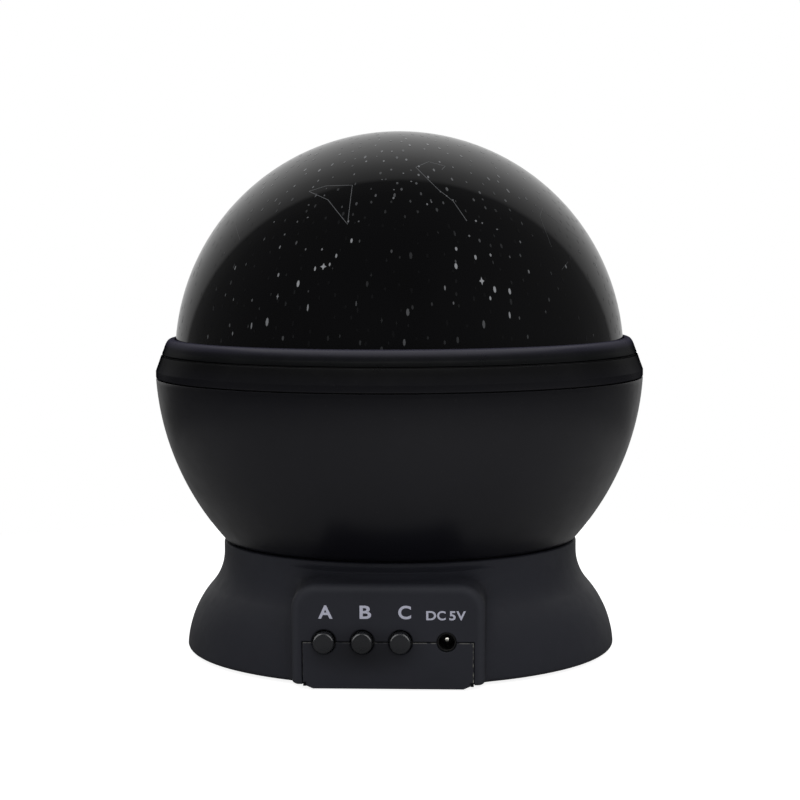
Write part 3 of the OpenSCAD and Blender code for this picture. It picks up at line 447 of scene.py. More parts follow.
usualPlastic = {"patchSize": 18, "speckSize": 0.5, "dust": 0, "dustColour": (120, 118, 114), "paintedShade": [],
                "rubSize": 6, "softEdge": 0.15, "specular": 0.5, "glowDepth": 0}
plasticLooks = {
    "domeGloss": {"colour": (8, 8, 10), "roughness": (0.02, 0.05), "mottle": 0.15, "grain": 0.01, "grainSize": 3,
                  "rubSize": 9, "softEdge": 0.05},
    "trimBlack": {"colour": (5, 5, 6), "roughness": (0.26, 0.34), "mottle": 0.06, "grain": 0.1, "grainSize": 0.12,
                  "dust": 0.04, "softEdge": 0.1, "softSides": (0.32, 0.95, 4),
                  # painted highlight and shade: tones by height, a pale bluish highlight on the collar's top and a
                  # lighter strip low on the rim
                  "paintedHeightTones": [(70.2, (15, 15, 20)), (72.5, (7, 7, 12)), (75, (0, 0, 1)), (77.2, (0, 2, 3)),
                            (78.3, (11, 11, 18)), (79.3, (36, 35, 47)), (80.1, (56, 55, 67))]},
    "bowlBlack": {"colour": (10, 10, 11), "roughness": (0.28, 0.36), "mottle": 0.06, "grain": 0.28, "grainSize": 0.16,
                  "dust": 0.06, "softEdge": 0.1,
                  # painted light and shade: tones by height, darker just under the rim and low down, with the plastic's
                  # bluish tint
                  "paintedHeightTones": [(34, (8, 8, 15)), (50, (13, 13, 20)), (60, (15, 15, 21)), (66, (13, 13, 19)),
                            (69.5, (4, 4, 10))]},
    "footCharcoal": {"colour": (40, 41, 48), "roughness": (0.5, 0.6), "mottle": 0.06, "grain": 0.3, "grainSize": 0.18,
                     "dust": 0.08, "softEdge": 0.25, "wear": (150, 148, 140), "paintedCrestLight": (72, 74, 80), "specular": 0.3,
                     # painted shade: ovals darken the flap's middle, the neck under the bowl and the two corner notches
                     "paintedShade": [((-5, -57, 9), (16, 8, 7), 0.5), ((-3, -48, 27), (34, 22, 6), 0.3),
                                   ((-19.55, -54.8, 1.3), (1.2, 0.9, 1.2), 0.95),
                                   ((19.72, -54.8, 1.3), (1.2, 0.9, 1.2), 0.95)]},
    "buttonCharcoal": {"colour": (35, 36, 39), "roughness": (0.2, 0.28), "mottle": 0.06, "grain": 0.12,
                       # painted shade: the oval over the flap's middle darkens the buttons too
                       "grainSize": 0.18, "softEdge": 0.1, "paintedShade": [((-5, -57, 9), (16, 8, 7), 0.35)]},
    "innerWhite": {"colour": (228, 227, 221), "roughness": (0.42, 0.55), "mottle": 0.02, "grain": 0.1,
                   "grainSize": 0.3, "glowDepth": 0.05},
    "gearPlastic": {"colour": (222, 214, 190), "roughness": (0.35, 0.5), "mottle": 0.04, "grain": 0.1,
                    "grainSize": 0.2, "glowDepth": 0.05, "softEdge": 0.06},
    "blackPlastic": {"colour": (20, 20, 21), "roughness": (0.32, 0.48), "mottle": 0.08, "grain": 0.15,
                     "grainSize": 0.15},
    "boardWhite": {"colour": (236, 236, 232), "roughness": (0.25, 0.4), "mottle": 0.03, "grain": 0.05,
                   "grainSize": 0.4},
    "padRubber": {"colour": (24, 24, 25), "roughness": (0.7, 0.85), "mottle": 0.1, "grain": 0.4, "grainSize": 0.25,
                  "dust": 0.1, "specular": 0.3, "softEdge": 0.3},
    "sealFelt": {"colour": (26, 26, 27), "roughness": (0.85, 0.95), "mottle": 0.15, "grain": 0.8, "grainSize": 0.12,
                 "specular": 0.2},
    "wireSheath": {"colour": (168, 44, 38), "roughness": (0.35, 0.5), "mottle": 0.05, "grain": 0.1, "grainSize": 0.3},
}
usualMetal = {"stretch": (1, 1, 0.08)}
metalLooks = {
    "steel": {"colour": (196, 197, 200), "roughness": (0.24, 0.38), "grain": 0.2, "grainSize": 0.3},
    "nickel": {"colour": (214, 212, 204), "roughness": (0.14, 0.26), "grain": 0.1, "grainSize": 0.4},
    "brass": {"colour": (206, 170, 98), "roughness": (0.22, 0.36), "grain": 0.15, "grainSize": 0.2},
    "zinc": {"colour": (184, 187, 192), "roughness": (0.28, 0.45), "grain": 0.25, "grainSize": 0.25,
             "stretch": (1, 1, 1)},
}
surface = {name: newMaterial(name, mouldedPlastic, {**usualPlastic, **look}) for name, look in plasticLooks.items()}
surface.update({name: newMaterial(name, bareMetal, {**usualMetal, **look}) for name, look in metalLooks.items()})
surface.update({name: newMaterial(name, recipe) for name, recipe in {
    "clearLens": clearMoulding, "boardGreen": circuitBoard, "cellSleeve": cellSleeve, "skyPrintAndLight": skyPrintAndLight,
    "letterPrint": letterPrint}.items()})

nodeSurfaces = {
    "footCharcoal": "base_shell bottom_cover battery_door",
    "buttonCharcoal": "button_a button_b button_c",
    "padRubber": "rubber_feet",
    "zinc": "cover_screws board_screws plate_screws motor_screws column_screws ring_gear_screws tray_screws",
    "cellSleeve": "battery_cells",
    "nickel": "battery_springs battery_contacts jack_pin",
    "wireSheath": "battery_cable motor_cable led_cable",
    "boardGreen": "main_board",
    "blackPlastic": "board_components tact_switches dc_jack",
    "gearPlastic": "gear_plate idler_gear ring_gear",
    "steel": "motor idler_axle",
    "brass": "motor_pinion",
    "innerWhite": "glide_washer lamp_column reflector_tray",
    "boardWhite": "led_board",
    "clearLens": "leds lamp_lens",
    "bowlBlack": "bowl",
    "trimBlack": "rim_ring dome_collar",
    "sealFelt": "dome_seal",
    "domeGloss": "star_dome",
}
for look, names in nodeSurfaces.items():
    for name in names.split():
        for slot in nodes[name].material_slots:
            slot.material = surface[look]
print("surfaces made")

# Star dome: one glossy moulded shell

dome = {"outerR": 57.56, "innerR": 55.8, "low": 70.1, "lowEdgeR": 0.3}
domeProfile = filleted([(dome["innerR"], dome["low"]), (dome["outerR"], dome["low"], dome["lowEdgeR"]),
                        (dome["outerR"], dome["low"] + 1)])
domeProfile += arcPoints((0, plan["domeZ"]), dome["outerR"], 0, 90, 80)
domeProfile += arcPoints((0, plan["domeZ"]), dome["innerR"], 90, 0, 48)
domeMesh = turned("star_dome_shell", domeProfile, surface["domeGloss"], ringSteps)
placed("star_dome_shell", domeMesh, "dome", ["star_dome"])
print("dome turned")

# Printed sky: small soft marks that lie on the dome, and thin lines between some of them. Their tones are painted
# light, brighter in some groups and high on the dome.

sky = {"radius": 57.585, "markRadius": 57.592, "lineRadius": 57.578, "seed": 11, "spacing": 2.3,
       "perSquareMetre": 90000.0, "smallest": 0.2, "largest": 0.38, "lineWidth": 0.15, "lineStep": 0.8,
       "lineTone": (0.08, 0.26), "strength": 0.7, "figureTurns": (0, 117, 238)}
markShapes = {"dot": [1] * 8, "oval": [1] * 8, "diamond": [1, 0.46] * 4}  # reaches round the middle
domeMiddle = Vector((0, 0, plan["domeZ"]))


def markMesh(name):  # a fan with a soft outer ring; glow is 1 in the middle and 0 at the edge
    reaches = markShapes[name]
    count = len(reaches)
    points = [(0, 0, 0)]
    for level in (0.66, 1.0):
        for i, reach in enumerate(reaches):
            a = math.pi / 2 + 2 * math.pi * i / count
            points.append((level * reach * math.cos(a), level * reach * math.sin(a), 0))
    faces = [(0, 1 + i, 1 + (i + 1) % count) for i in range(count)]
    faces += [(1 + i, 1 + count + i, 1 + count + (i + 1) % count, 1 + (i + 1) % count) for i in range(count)]
    return marked(meshFrom("mark." + name, points, faces), "glow", [1.0] * (1 + count) + [0.0] * count)


def skyTree():
    tree, sizes = geometryTree("sky scatter", Marks="Collection", Seed="Int", Spacing="Float", Density="Float",
                               Smallest="Float", Largest="Float", Radius="Float", Height="Float")
    centre = outOf(tree, "ShaderNodeCombineXYZ", {"Z": sizes["Height"]})

    def outward():
        arm = vectorMaths(tree, "SUBTRACT", outOf(tree, "GeometryNodeInputPosition"), centre)
        return vectorMaths(tree, "NORMALIZE", arm)

    def random(low, high, seed):
        return outOf(tree, "FunctionNodeRandomValue", {2: low, 3: high, "Seed": seed}, 1, data_type="FLOAT")

    spread = outOf(tree, "GeometryNodeDistributePointsOnFaces", {
        "Mesh": sizes["Geometry"], "Distance Min": sizes["Spacing"], "Density Max": sizes["Density"],
        "Seed": sizes["Seed"]}, distribute_method="POISSON")
    up = outward()
    stand = outOf(tree, "FunctionNodeAlignRotationToVector", {"Vector": up}, axis="Z")
    stand = outOf(tree, "FunctionNodeAlignRotationToVector", {"Rotation": stand, "Vector": (0, 0, 1)}, axis="Y",
                  pivot_axis="Z")
    width = ranged(tree, random(0, 1, 3), sizes["Smallest"], sizes["Largest"], 0, 1)
    tall = maths(tree, "MULTIPLY", random(0.75, 1.3, 4), 2.0)
    scale = outOf(tree, "ShaderNodeCombineXYZ", {"X": width, "Y": maths(tree, "MULTIPLY", width, tall), "Z": 1.0})
    marks = outOf(tree, "GeometryNodeCollectionInfo", {"Collection": sizes["Marks"], "Separate Children": True,
                                                       "Reset Children": True})
    choice = outOf(tree, "FunctionNodeRandomValue", {4: 0, 5: 9, "Seed": 5}, 2, data_type="INT")
    pick = maths(tree, "MINIMUM", choice, 1.0)  # the marks sort as diamond, dot: one in ten is a diamond
    copies = outOf(tree, "GeometryNodeInstanceOnPoints", {
        "Points": spread, "Instance": marks, "Pick Instance": True, "Instance Index": pick, "Rotation": stand,
        "Scale": scale})
    high = ranged(tree, axisOf(tree, up, "Z"), 0, 1, 0.6, 0.8)  # painted light: the marks are fainter low on the dome
    faint = maths(tree, "MULTIPLY", maths(tree, "POWER", random(0, 1, 8), 7.0), 0.16)
    tone = ranged(tree, high, maths(tree, "ADD", faint, 0.006), random(0.1, 0.4, 9), 0, 1)
    toned = outOf(tree, "GeometryNodeStoreNamedAttribute", {"Geometry": copies, "Name": "tone", "Value": tone},
                  data_type="FLOAT", domain="INSTANCE")
    real = outOf(tree, "GeometryNodeRealizeInstances", {"Geometry": toned})
    lift = outOf(tree, "ShaderNodeVectorMath", {0: outward(), "Scale": sizes["Radius"]}, operation="SCALE")
    onDome = vectorMaths(tree, "ADD", lift, centre)
    laid = outOf(tree, "GeometryNodeSetPosition", {"Geometry": real, "Position": onDome})
    return endTree(tree, laid, sizes["Surface"])


markPieces = bpy.data.collections.new("marks")
for kind in ("diamond", "dot"):
    markPieces.objects.link(bpy.data.objects.new(kind, markMesh(kind)))
emitter = turned("sky.emitter", arcPoints((0, plan["domeZ"]), plan["domeR"], 6, 89, 40), None, 96, closed=False)
scattered = grown("sky.scatter", emitter, skyTree(), Marks=markPieces, Seed=sky["seed"], Spacing=sky["spacing"] * mm,
                  Density=sky["perSquareMetre"], Smallest=sky["smallest"], Largest=sky["largest"],
                  Radius=sky["radius"] * mm, Height=plan["domeZ"] * mm, Surface=surface["skyPrintAndLight"])
for piece in list(markPieces.objects):
    bpy.data.objects.remove(piece)

# The larger marks, laid out on the front view of the dome: across, up from its centre, width, height, tone; the tone is
# painted light
mainMarks = {
    "oval": [(-21, 20, 0.85, 2.0, 0.9), (-17, 23.5, 0.55, 1.4, 0.9), (-13.5, 24.5, 0.5, 1.1, 0.85),
             (-12, 26.5, 0.6, 1.3, 0.8), (-8.5, 30, 0.65, 1.5, 0.85), (-15.5, 28, 0.5, 0.8, 0.6),
             (-19.5, 28, 0.4, 0.8, 0.45), (-26, 28.5, 0.5, 1.1, 0.6), (-26, 22, 0.6, 1.2, 0.7),
             (-18.5, 14.5, 0.5, 2.0, 0.7), (-28.5, 11, 1.0, 2.4, 0.6), (-32.5, 10, 0.5, 1.9, 0.6),
             (-37.5, 8, 0.5, 1.2, 0.5), (-37.5, 23.5, 0.6, 1.4, 0.5), (-37.5, 16, 0.5, 0.9, 0.35),
             (-32.5, 16, 0.5, 0.9, 0.35), (-7, 15.5, 0.4, 1.4, 0.3), (-4.5, 20, 0.7, 1.7, 0.12),
             (5.5, 26.5, 0.85, 2.2, 0.14), (1, 27.5, 0.6, 1.1, 0.25), (5, 13.5, 0.9, 2.1, 0.32),
             (-1, 5, 0.8, 1.6, 0.16), (-6, 6.5, 0.6, 1.5, 0.14), (22.5, 10.5, 0.85, 2.3, 0.32),
             (16.5, 7, 0.75, 1.8, 0.16), (13.5, 6.5, 0.6, 1.3, 0.12), (16, 28, 0.7, 1.2, 0.85),
             (16, 24, 0.85, 1.8, 0.9), (20.5, 26, 0.7, 1.5, 0.85), (24, 26.5, 0.6, 1.0, 0.7),
             (28.5, 26, 0.5, 0.8, 0.3), (25, 18.5, 0.85, 1.9, 0.9), (28.5, 18, 0.8, 1.8, 0.85),
             (24, 16.5, 0.6, 1.2, 0.85), (28.5, 12.5, 0.6, 1.9, 0.75), (13.5, 19, 0.5, 1.4, 0.55),
             (15.5, 15.5, 0.5, 0.9, 0.4), (33, 22.5, 0.6, 1.2, 0.5), (31, 29.5, 0.5, 0.9, 0.45),
             (42, 23.5, 0.7, 1.2, 0.5), (19, 31, 0.6, 0.7, 0.5), (20.5, 34.5, 0.6, 0.7, 0.7),
             (22, 34, 0.4, 0.6, 0.6), (25.5, 32.5, 0.7, 0.5, 0.45), (1, 40, 0.55, 0.9, 0.6), (1, 42, 0.5, 0.5, 0.5),
             (9, 38.5, 0.5, 0.8, 0.6), (10, 39, 0.4, 0.7, 0.5), (13.5, 40.5, 0.5, 0.6, 0.5),
             (15, 39.5, 0.6, 0.5, 0.5), (12, 41.5, 0.4, 0.6, 0.5), (3, 46, 0.5, 0.6, 0.6), (5, 44, 0.5, 0.5, 0.6),
             (-2, 44.5, 0.5, 0.5, 0.4), (-9.5, 34.5, 0.5, 0.8, 0.6), (-7, 34.5, 0.5, 0.6, 0.4),
             (-25, 31.5, 0.5, 0.7, 0.45), (-22, 34.5, 0.5, 0.7, 0.4), (-28, 34.5, 0.5, 0.6, 0.4),
             (-19.5, 35.5, 0.6, 0.5, 0.45), (-19.5, 38.5, 0.6, 0.5, 0.4)],
    "diamond": [(-15, 24, 1.8, 2.1, 0.95), (22, 20.5, 1.5, 2.4, 0.95), (-26, 17, 0.8, 1.9, 0.6),
                (37, 13, 0.7, 1.3, 0.2), (-41, 27, 0.8, 1.0, 0.2)],
}
figures = [  # thin printed lines on the same front view
    [(-19.8, 41.8), (-15.5, 43.1), (-9.1, 43.2), (-9.6, 33.8), (-14.8, 39.7), (-19.8, 41.8)],
    [(12.1, 46.9), (12.9, 47.8), (8.8, 48.9), (5.9, 47.5), (11.3, 42.2), (15.1, 39.2), (18.4, 34.5)],
    [(-38.8, 37.7), (-38.7, 33.7), (-36.9, 30.2)],
    [(36.5, 37.7), (35.8, 35.6), (38.6, 28.1)],
    [(41, 22.8), (42.6, 24.6)],
]


def domePoint(across, up, turnAngle, radius):  # a place on the front view, turned round the lamp
    depth = math.sqrt(max(plan["domeR"] ** 2 - across ** 2 - up ** 2, 0))
    return (rotated(turnAngle, "Z") @ Vector((across, -depth, up))).normalized() * radius


def markOnDome(shape, across, up, width, height, turnAngle):
    out = domePoint(across, up, turnAngle, 1)
    meridian = (Vector((0, 0, 1)) - out * out.z).normalized()
    side = meridian.cross(out)
    arms = [out * plan["domeR"] + side * x * width / 2 + meridian * y * height / 2 for x, y, z in shape]
    return [arm.normalized() * sky["markRadius"] + domeMiddle for arm in arms]


def figureLine(corners, turnAngle):  # a ribbon along the dome through the corners
    path = []
    for (x0, z0), (x1, z1) in zip(corners, corners[1:]):
        steps = max(2, int(math.hypot(x1 - x0, z1 - z0) / sky["lineStep"]))
        path += [(x0 + (x1 - x0) * i / steps, z0 + (z1 - z0) * i / steps) for i in range(steps)]
    path = [domePoint(x, z, turnAngle, sky["lineRadius"]) for x, z in path + [corners[-1]]]
    points = []
    for i, here in enumerate(path):
        along = path[min(i + 1, len(path) - 1)] - path[max(i - 1, 0)]
        aside = here.cross(along).normalized() * sky["lineWidth"] / 2
        points += [here + aside + domeMiddle, here - aside + domeMiddle]
    return points, [(2 * i + 1, 2 * i + 3, 2 * i + 2, 2 * i) for i in range(len(path) - 1)]


handPoints, handFaces, handValues = [], [], {"glow": [], "tone": []}


def addMarks(points, faces, glow, tone):
    first = len(handPoints)
    handPoints.extend(points)
    handFaces.extend([tuple(first + i for i in face) for face in faces])
    handValues["glow"].extend(glow)
    handValues["tone"].extend([tone] * len(points))


for turnAngle in sky["figureTurns"]:
    for kind, marks in mainMarks.items():
        shape = markMesh(kind)
        outline = [tuple(c / mm for c in v.co) for v in shape.vertices]
        faces = [tuple(p.vertices) for p in shape.polygons]
        glow = [a.value for a in shape.attributes["glow"].data]
        for *place, tone in marks:
            addMarks(markOnDome(outline, *place, turnAngle), faces, glow, tone ** 1.3 * sky["strength"])
    for corners in figures:
        points, faces = figureLine(corners, turnAngle)
        high = sum(up for across, up in corners) / len(corners) > 36  # painted light: stronger near the top
        addMarks(points, faces, [0.8] * len(points), sky["lineTone"][high])
handMarks = meshFrom("sky.marks", handPoints, handFaces, surface["skyPrintAndLight"])
for label, values in handValues.items():
    marked(handMarks, label, values)
skyMesh = joined("printed_sky", [scattered, handMarks])
skyMesh.shade_smooth()
skyMesh.normals_split_custom_set_from_vertices([(v.co - domeMiddle * mm).normalized() for v in skyMesh.vertices])
placed("printed_sky", skyMesh, "dome")
print("sky printed,", len(skyMesh.polygons), "faces")

# Collar round the dome, with its skirt and three lock lugs

collar = {"skirt": [(57.65, 67.9), (58.45, 67.9, 0.2), (58.45, 76.2), (60.95, 76.22, 0.2), (60.5, 77.35)],
          "shoulder": ((60.45, 77.45), (59.75, 79.9), (58.7, 80.07)),
          "inside": [(57.8, 80.08), (57.66, 79.95), (57.65, 70.05), (55.82, 70.05), (55.82, 68.9), (57.65, 68.9)],
          "lug": [(58.2, 67.9), (59.4, 67.9), (59.4, 69.9), (58.2, 69.9)], "lugWidth": 18}
trim = surface["trimBlack"]
collarProfile = filleted(collar["skirt"]) + bend(*collar["shoulder"], 12) + collar["inside"]
lug = ringSegment("lug", collar["lug"], 0, collar["lugWidth"], 8)
collarMesh = joined("dome_collar_ring", [turned("collar", collarProfile, trim, ringSteps, angle=40),
                                         repeated("lugs", lug, 3, 0, trim)])
placed("dome_collar_ring", collarMesh, "dome", ["dome_collar"])

# Rim ring on the bowl: a full ring, the ledge between the notches, and a stop beside each notch

rim = {"outline": [(59.56, 70.2), (60.35, 70.2), (60.35, 68.6), (61.3, 68.6), (61.3, 70.32), (62.5, 70.32, 0.2),
                   (62.5, 72.0, 0.6), (61.75, 74.05, 3.0), (61.15, 75.8, 0.05), (60.67, 75.8), (60.67, 75.3),
                   (59.93, 75.3), (59.93, 76.06), (59.56, 76.06)],
       "ledge": [(58.6, 70.2), (59.58, 70.2), (59.58, 76.06), (58.6, 76.06)], "notchWidth": 22,
       "stop": [(58.6, 68.3), (59.75, 68.3), (59.75, 70.22), (58.6, 70.22)], "stopWidth": 4, "stopAngle": -32.5}
ledge = ringSegment("ledge", rim["ledge"], 60, 120 - rim["notchWidth"], 64)
stop = ringSegment("stop", rim["stop"], rim["stopAngle"], rim["stopWidth"], 3)
rimMesh = joined("bowl_rim", [turned("rim", filleted(rim["outline"]), trim, ringSteps, angle=40),
                              repeated("ledges", ledge, 3, 0, trim), repeated("stops", stop, 3, 0, trim)])
placed("bowl_rim", rimMesh, "bowl", ["rim_ring"])

# Bowl: its side is one arc; the spindle, ribs and tray posts are inside

bowl = {"foot": (45.15, 28.7), "lip": (62.5, 70.2), "curveR": 68.6, "wall": 2.2, "floorTop": 26.9,
        "spindle": [(18, 21.8), (21.7, 21.8), (22, 22.1), (22, 24.9), (43, 24.9), (43, 28.7), (44.9, 28.7)],
        "edge": [(62.42, 69.99), (62.25, 70.06), (61.4, 70.06), (61.4, 68.5), (60.3, 68.5)],
        "hub": [(22, 26.9), (22, 29.9), (18, 29.9)], "rib": ((21, -0.7, 26.85), (39.5, 0.7, 29.4)),
        "post": [(0, 26.85), (3, 26.85), (3, 55.8), (0, 55.8)], "postRing": 34.0}
foot, lip = Vector(bowl["foot"]), Vector(bowl["lip"])
chord = lip - foot
sag = math.sqrt(bowl["curveR"] ** 2 - (chord.length / 2) ** 2)
bowlCentre = (foot + lip) / 2 + Vector((-chord.y, chord.x)).normalized() * sag


def bowlSide(inset, low, high, steps):  # the arc of the side between two heights
    radius = bowl["curveR"] - inset
    first, last = (math.degrees(math.asin((z - bowlCentre.y) / radius)) for z in (low, high))
    return arcPoints(bowlCentre, radius, first, last, steps)


bowlProfile = bowl["spindle"] + bowlSide(0, 28.9, 69.85, 56) + bowl["edge"]
bowlProfile += bowlSide(bowl["wall"], 68.4, bowl["floorTop"], 32) + bowl["hub"]
post = turned("post", bowl["post"], None, 40)
post.transform(Matrix.Translation((bowl["postRing"] * mm, 0, 0)))
bowlMesh = joined("bowl_shell", [turned("bowl", bowlProfile, surface["bowlBlack"], ringSteps),
                                 repeated("ribs", blockMesh("rib", *bowl["rib"]), 6, 0, surface["bowlBlack"]),
                                 repeated("posts", post, 3, 30, surface["bowlBlack"])])
placed("bowl_shell", bowlMesh, "bowl", ["bowl"])
print("collar, rim and bowl turned")

# Foot shell: a turned flare and a rounded panel block that run into each other. Each upright half plane is walked
# from a point inside the wall, and the skin is found where the distance changes sign.

shell = {"coveR": 13.3, "flareR": 25.3, "neckStraight": 2.8, "wall": 2.0, "panelHalf": 22.8, "panelTop": 24.8,
         "cornerR": 6.0, "lowCornerR": 1.8, "topSlope": (0.12, 1, 6), "edgeR": 2.0, "lowEdgeR": 1.2, "panelBack": -30,
         "blend": (2.8, 6.5), "blendRise": (19, 5), "blendFront": (1.2, 4), "blendTop": (28, 1.5), "deckLow": 22.1,
         "paintedCrestLight": {"tone": 0.14, "inset": 1.0, "width": 0.75, "back": -53.5}, "heart": (38.0, 5.0), "rows": 132,
         "innerRows": 26, "columns": [(0, 20.0, 22), (20.0, 28.8, 68), (28.8, 40, 14), (40, 180, 50)],
         "deck": [(22.06, 22.1), (22.06, 24.1), (43.5, 24.1), (43.5, 27.9), (43.8, 28.2), (45.0, 28.2),
                  (45.35, 28.05)]}
coveC = np.array([plan["neckR"] + shell["coveR"], plan["neckZ"] - shell["neckStraight"]])
toFoot = np.array([plan["footR"], plan["edgeZ"]]) - coveC
reach = np.hypot(*toFoot)
armOut = shell["coveR"] + shell["flareR"]
alongArm = (reach ** 2 + armOut ** 2 - shell["flareR"] ** 2) / (2 * reach)
aside = np.array([toFoot[1], -toFoot[0]]) / reach
flareC = coveC + toFoot / reach * alongArm + aside * np.sqrt(armOut ** 2 - alongArm ** 2)
meetZ = (coveC + (flareC - coveC) / armOut * shell["coveR"])[1]


def flareRadius(z):
    upper = coveC[0] - np.sqrt(np.maximum(shell["coveR"] ** 2 - np.minimum(z - coveC[1], 0) ** 2, 0))
    lower = flareC[0] + np.sqrt(np.maximum(shell["flareR"] ** 2 - (z - flareC[1]) ** 2, 0))
    return np.where(z > meetZ, upper, lower)


def softEdge(first, second, radius):  # an outside edge between two faces, rounded
    a, b = first + radius, second + radius
    return np.minimum(np.maximum(a, b), 0) + np.hypot(np.maximum(a, 0), np.maximum(b, 0)) - radius


def panelOutline(x, y, z):
    c = shell["cornerR"]
    slope, start, reach = shell["topSlope"]
    px = np.abs(x) - (shell["panelHalf"] - c)
    pz = z - (shell["panelTop"] - c) - slope * np.clip(y + plan["panelY"] - start, 0, reach)
    outline = np.hypot(np.maximum(px, 0), np.maximum(pz, 0)) + np.minimum(np.maximum(px, pz), 0) - c
    return softEdge(outline, plan["edgeZ"] - z, shell["lowCornerR"])


def rising(value, start, reach, least=0):  # from the least to 1 within the reach
    return np.clip((value - start) / reach, least, 1)


def footForm(x, y, z):
    r = np.hypot(x, y)
    slope = (flareRadius(z + 0.05) - flareRadius(z - 0.05)) / 0.1
    flare = (r - flareRadius(z)) / np.sqrt(1 + slope ** 2)
    panel = np.maximum(softEdge(panelOutline(x, y, z), -y - plan["panelY"], shell["edgeR"]), y - shell["panelBack"])
    least, most = shell["blend"]
    blend = least + (most - least) * rising(z, *shell["blendRise"])
    blend = blend * rising(y + plan["panelY"], *shell["blendFront"], 0.0001)
    blend = blend * rising(-z, -shell["blendTop"][0], shell["blendTop"][1], 0.0001)
    near = np.clip(blend - np.abs(flare - panel), 0, None) / blend
    return np.minimum(flare, panel) - near ** 2 * blend / 4


def footSkin(x, y, z):  # about the distance outside the foot
    return softEdge(footForm(x, y, z), plan["edgeZ"] - z, shell["lowEdgeR"])


def innerSkin(x, y, z):
    return np.maximum(footForm(x, y, np.maximum(z, 2.0)) + shell["wall"], z - shell["deckLow"])


def angleTo(r, z):  # as seen from the heart
    return math.atan2(z - shell["heart"][1], r - shell["heart"][0])


def walked(skin, azimuth, first, last, count, far=30.0):  # where the rays from the heart leave the skin
    angles = np.linspace(first, last, count)

    def spots(distances):
        return shell["heart"][0] + distances * np.cos(angles), shell["heart"][1] + distances * np.sin(angles)

    low, high = np.zeros(count), np.full(count, far)
    for halving in range(44):
        mid = (low + high) / 2
        r, z = spots(mid)
        inside = skin(r * np.sin(azimuth), -r * np.cos(azimuth), z) < 0
        low, high = np.where(inside, mid, low), np.where(inside, high, mid)
    return list(zip(*spots(low)))


half = np.concatenate([np.linspace(a, b, n, endpoint=b == 180) for a, b, n in shell["columns"]])
azimuths = np.radians(np.concatenate([half, -half[1:-1][::-1]]))
side = np.linspace(44, 70, 600)  # the foot's edge is looked for here, at a height of 1.4 mm
rings = []
for azimuth in azimuths:
    edge = side[footForm(side * math.sin(azimuth), -side * math.cos(azimuth), np.full(600, 1.4)) < 0][-1]
    column = walked(footSkin, azimuth, angleTo(plan["neckR"], plan["neckZ"] - 0.5),
                    angleTo(edge - 0.9, plan["edgeZ"]), shell["rows"])
    inside = walked(innerSkin, azimuth, angleTo(edge - shell["wall"], plan["edgeZ"]), math.pi / 2,
                    shell["innerRows"])
    column += [(inside[0][0], plan["edgeZ"])] + inside[1:] + shell["deck"]
    rings.append([(r * math.sin(azimuth), -r * math.cos(azimuth), z) for r, z in column])
footMesh = smoothed(loft("foot_shell", rings, surface["footCharcoal"], closed=True))


def barrel(x, z, rings, sides=48):  # a closed cutter round a line along Y
    turns = [2 * math.pi * k / sides for k in range(sides)]
    return loft("barrel", [[(x + r * math.cos(a), y, z + r * math.sin(a)) for a in turns] for y, r in rings])


def opening(rings):  # a closed cutter of four-cornered rings: (y, half width, top)
    return loft("opening", [[(-w, y, -1), (w, y, -1), (w, y, top), (-w, y, top)] for y, w, top in rings])


cuts = {"chamfer": 0.22, "back": 53.4, "flapHalf": 20.25, "flapTop": 11.4, "buttonX": (-15, -6, 3), "buttonHole": 2.85,
        "inletX": 13.8, "inletHole": 2.35}
panelY, chamfer = plan["panelY"], cuts["chamfer"]
flapCutter = opening([(-panelY - 1, cuts["flapHalf"] + chamfer, cuts["flapTop"] + chamfer),
                      (-panelY, cuts["flapHalf"] + chamfer, cuts["flapTop"] + chamfer),
                      (-panelY + chamfer, cuts["flapHalf"], cuts["flapTop"]),
                      (-cuts["back"], cuts["flapHalf"], cuts["flapTop"])])
holes = [(x, cuts["buttonHole"], chamfer) for x in cuts["buttonX"]]
holes.append((cuts["inletX"], cuts["inletHole"], chamfer / 2))
holeCutters = [barrel(x, plan["splitZ"], [(-panelY - 1, r + c), (-panelY, r + c), (-panelY + c, r),
                                          (-cuts["back"], r)]) for x, r, c in holes]
for cutter in (flapCutter, joined("holes", holeCutters)):
    footMesh = carved(footMesh, smoothed(cutter))
footMesh.name = "foot_shell"
footMesh.shade_smooth()
footMesh.set_sharp_from_angle(angle=math.radians(28))
corner = np.array([v.co for v in footMesh.vertices]) / mm
step = 0.02
gradient = np.stack([footSkin(*(corner + axis * step).T) - footSkin(*(corner - axis * step).T)
                     for axis in np.eye(3)], axis=1)
gradient /= np.linalg.norm(gradient, axis=1, keepdims=True) + 1e-12
onSkin = np.abs(footSkin(*corner.T)) < 0.004
footMesh.normals_split_custom_set([  # the skin's own slope, where a face lies on it
    tuple(gradient[v]) if onSkin[v] and gradient[v] @ np.array(polygon.normal) > 0.8 else (0, 0, 0)
    for polygon in footMesh.polygons for v in polygon.vertices])
# painted highlight: a lighter line just inside the panel's outline, on its front, where the rounded edge catches light
paintedCrestLight = shell["paintedCrestLight"]
crestLightMask = np.exp(-((panelOutline(*corner.T) + paintedCrestLight["inset"]) / paintedCrestLight["width"]) ** 2)
marked(footMesh, "paintedCrestLight", paintedCrestLight["tone"] * crestLightMask * (corner[:, 1] < paintedCrestLight["back"]) * onSkin)
placed("foot_shell", footMesh, "base", ["base_shell"])
print("foot shell made,", len(footMesh.polygons), "faces")

# The panel's lower flap: a plate with half-round bites for the buttons and inlet, clipped at its lower corners

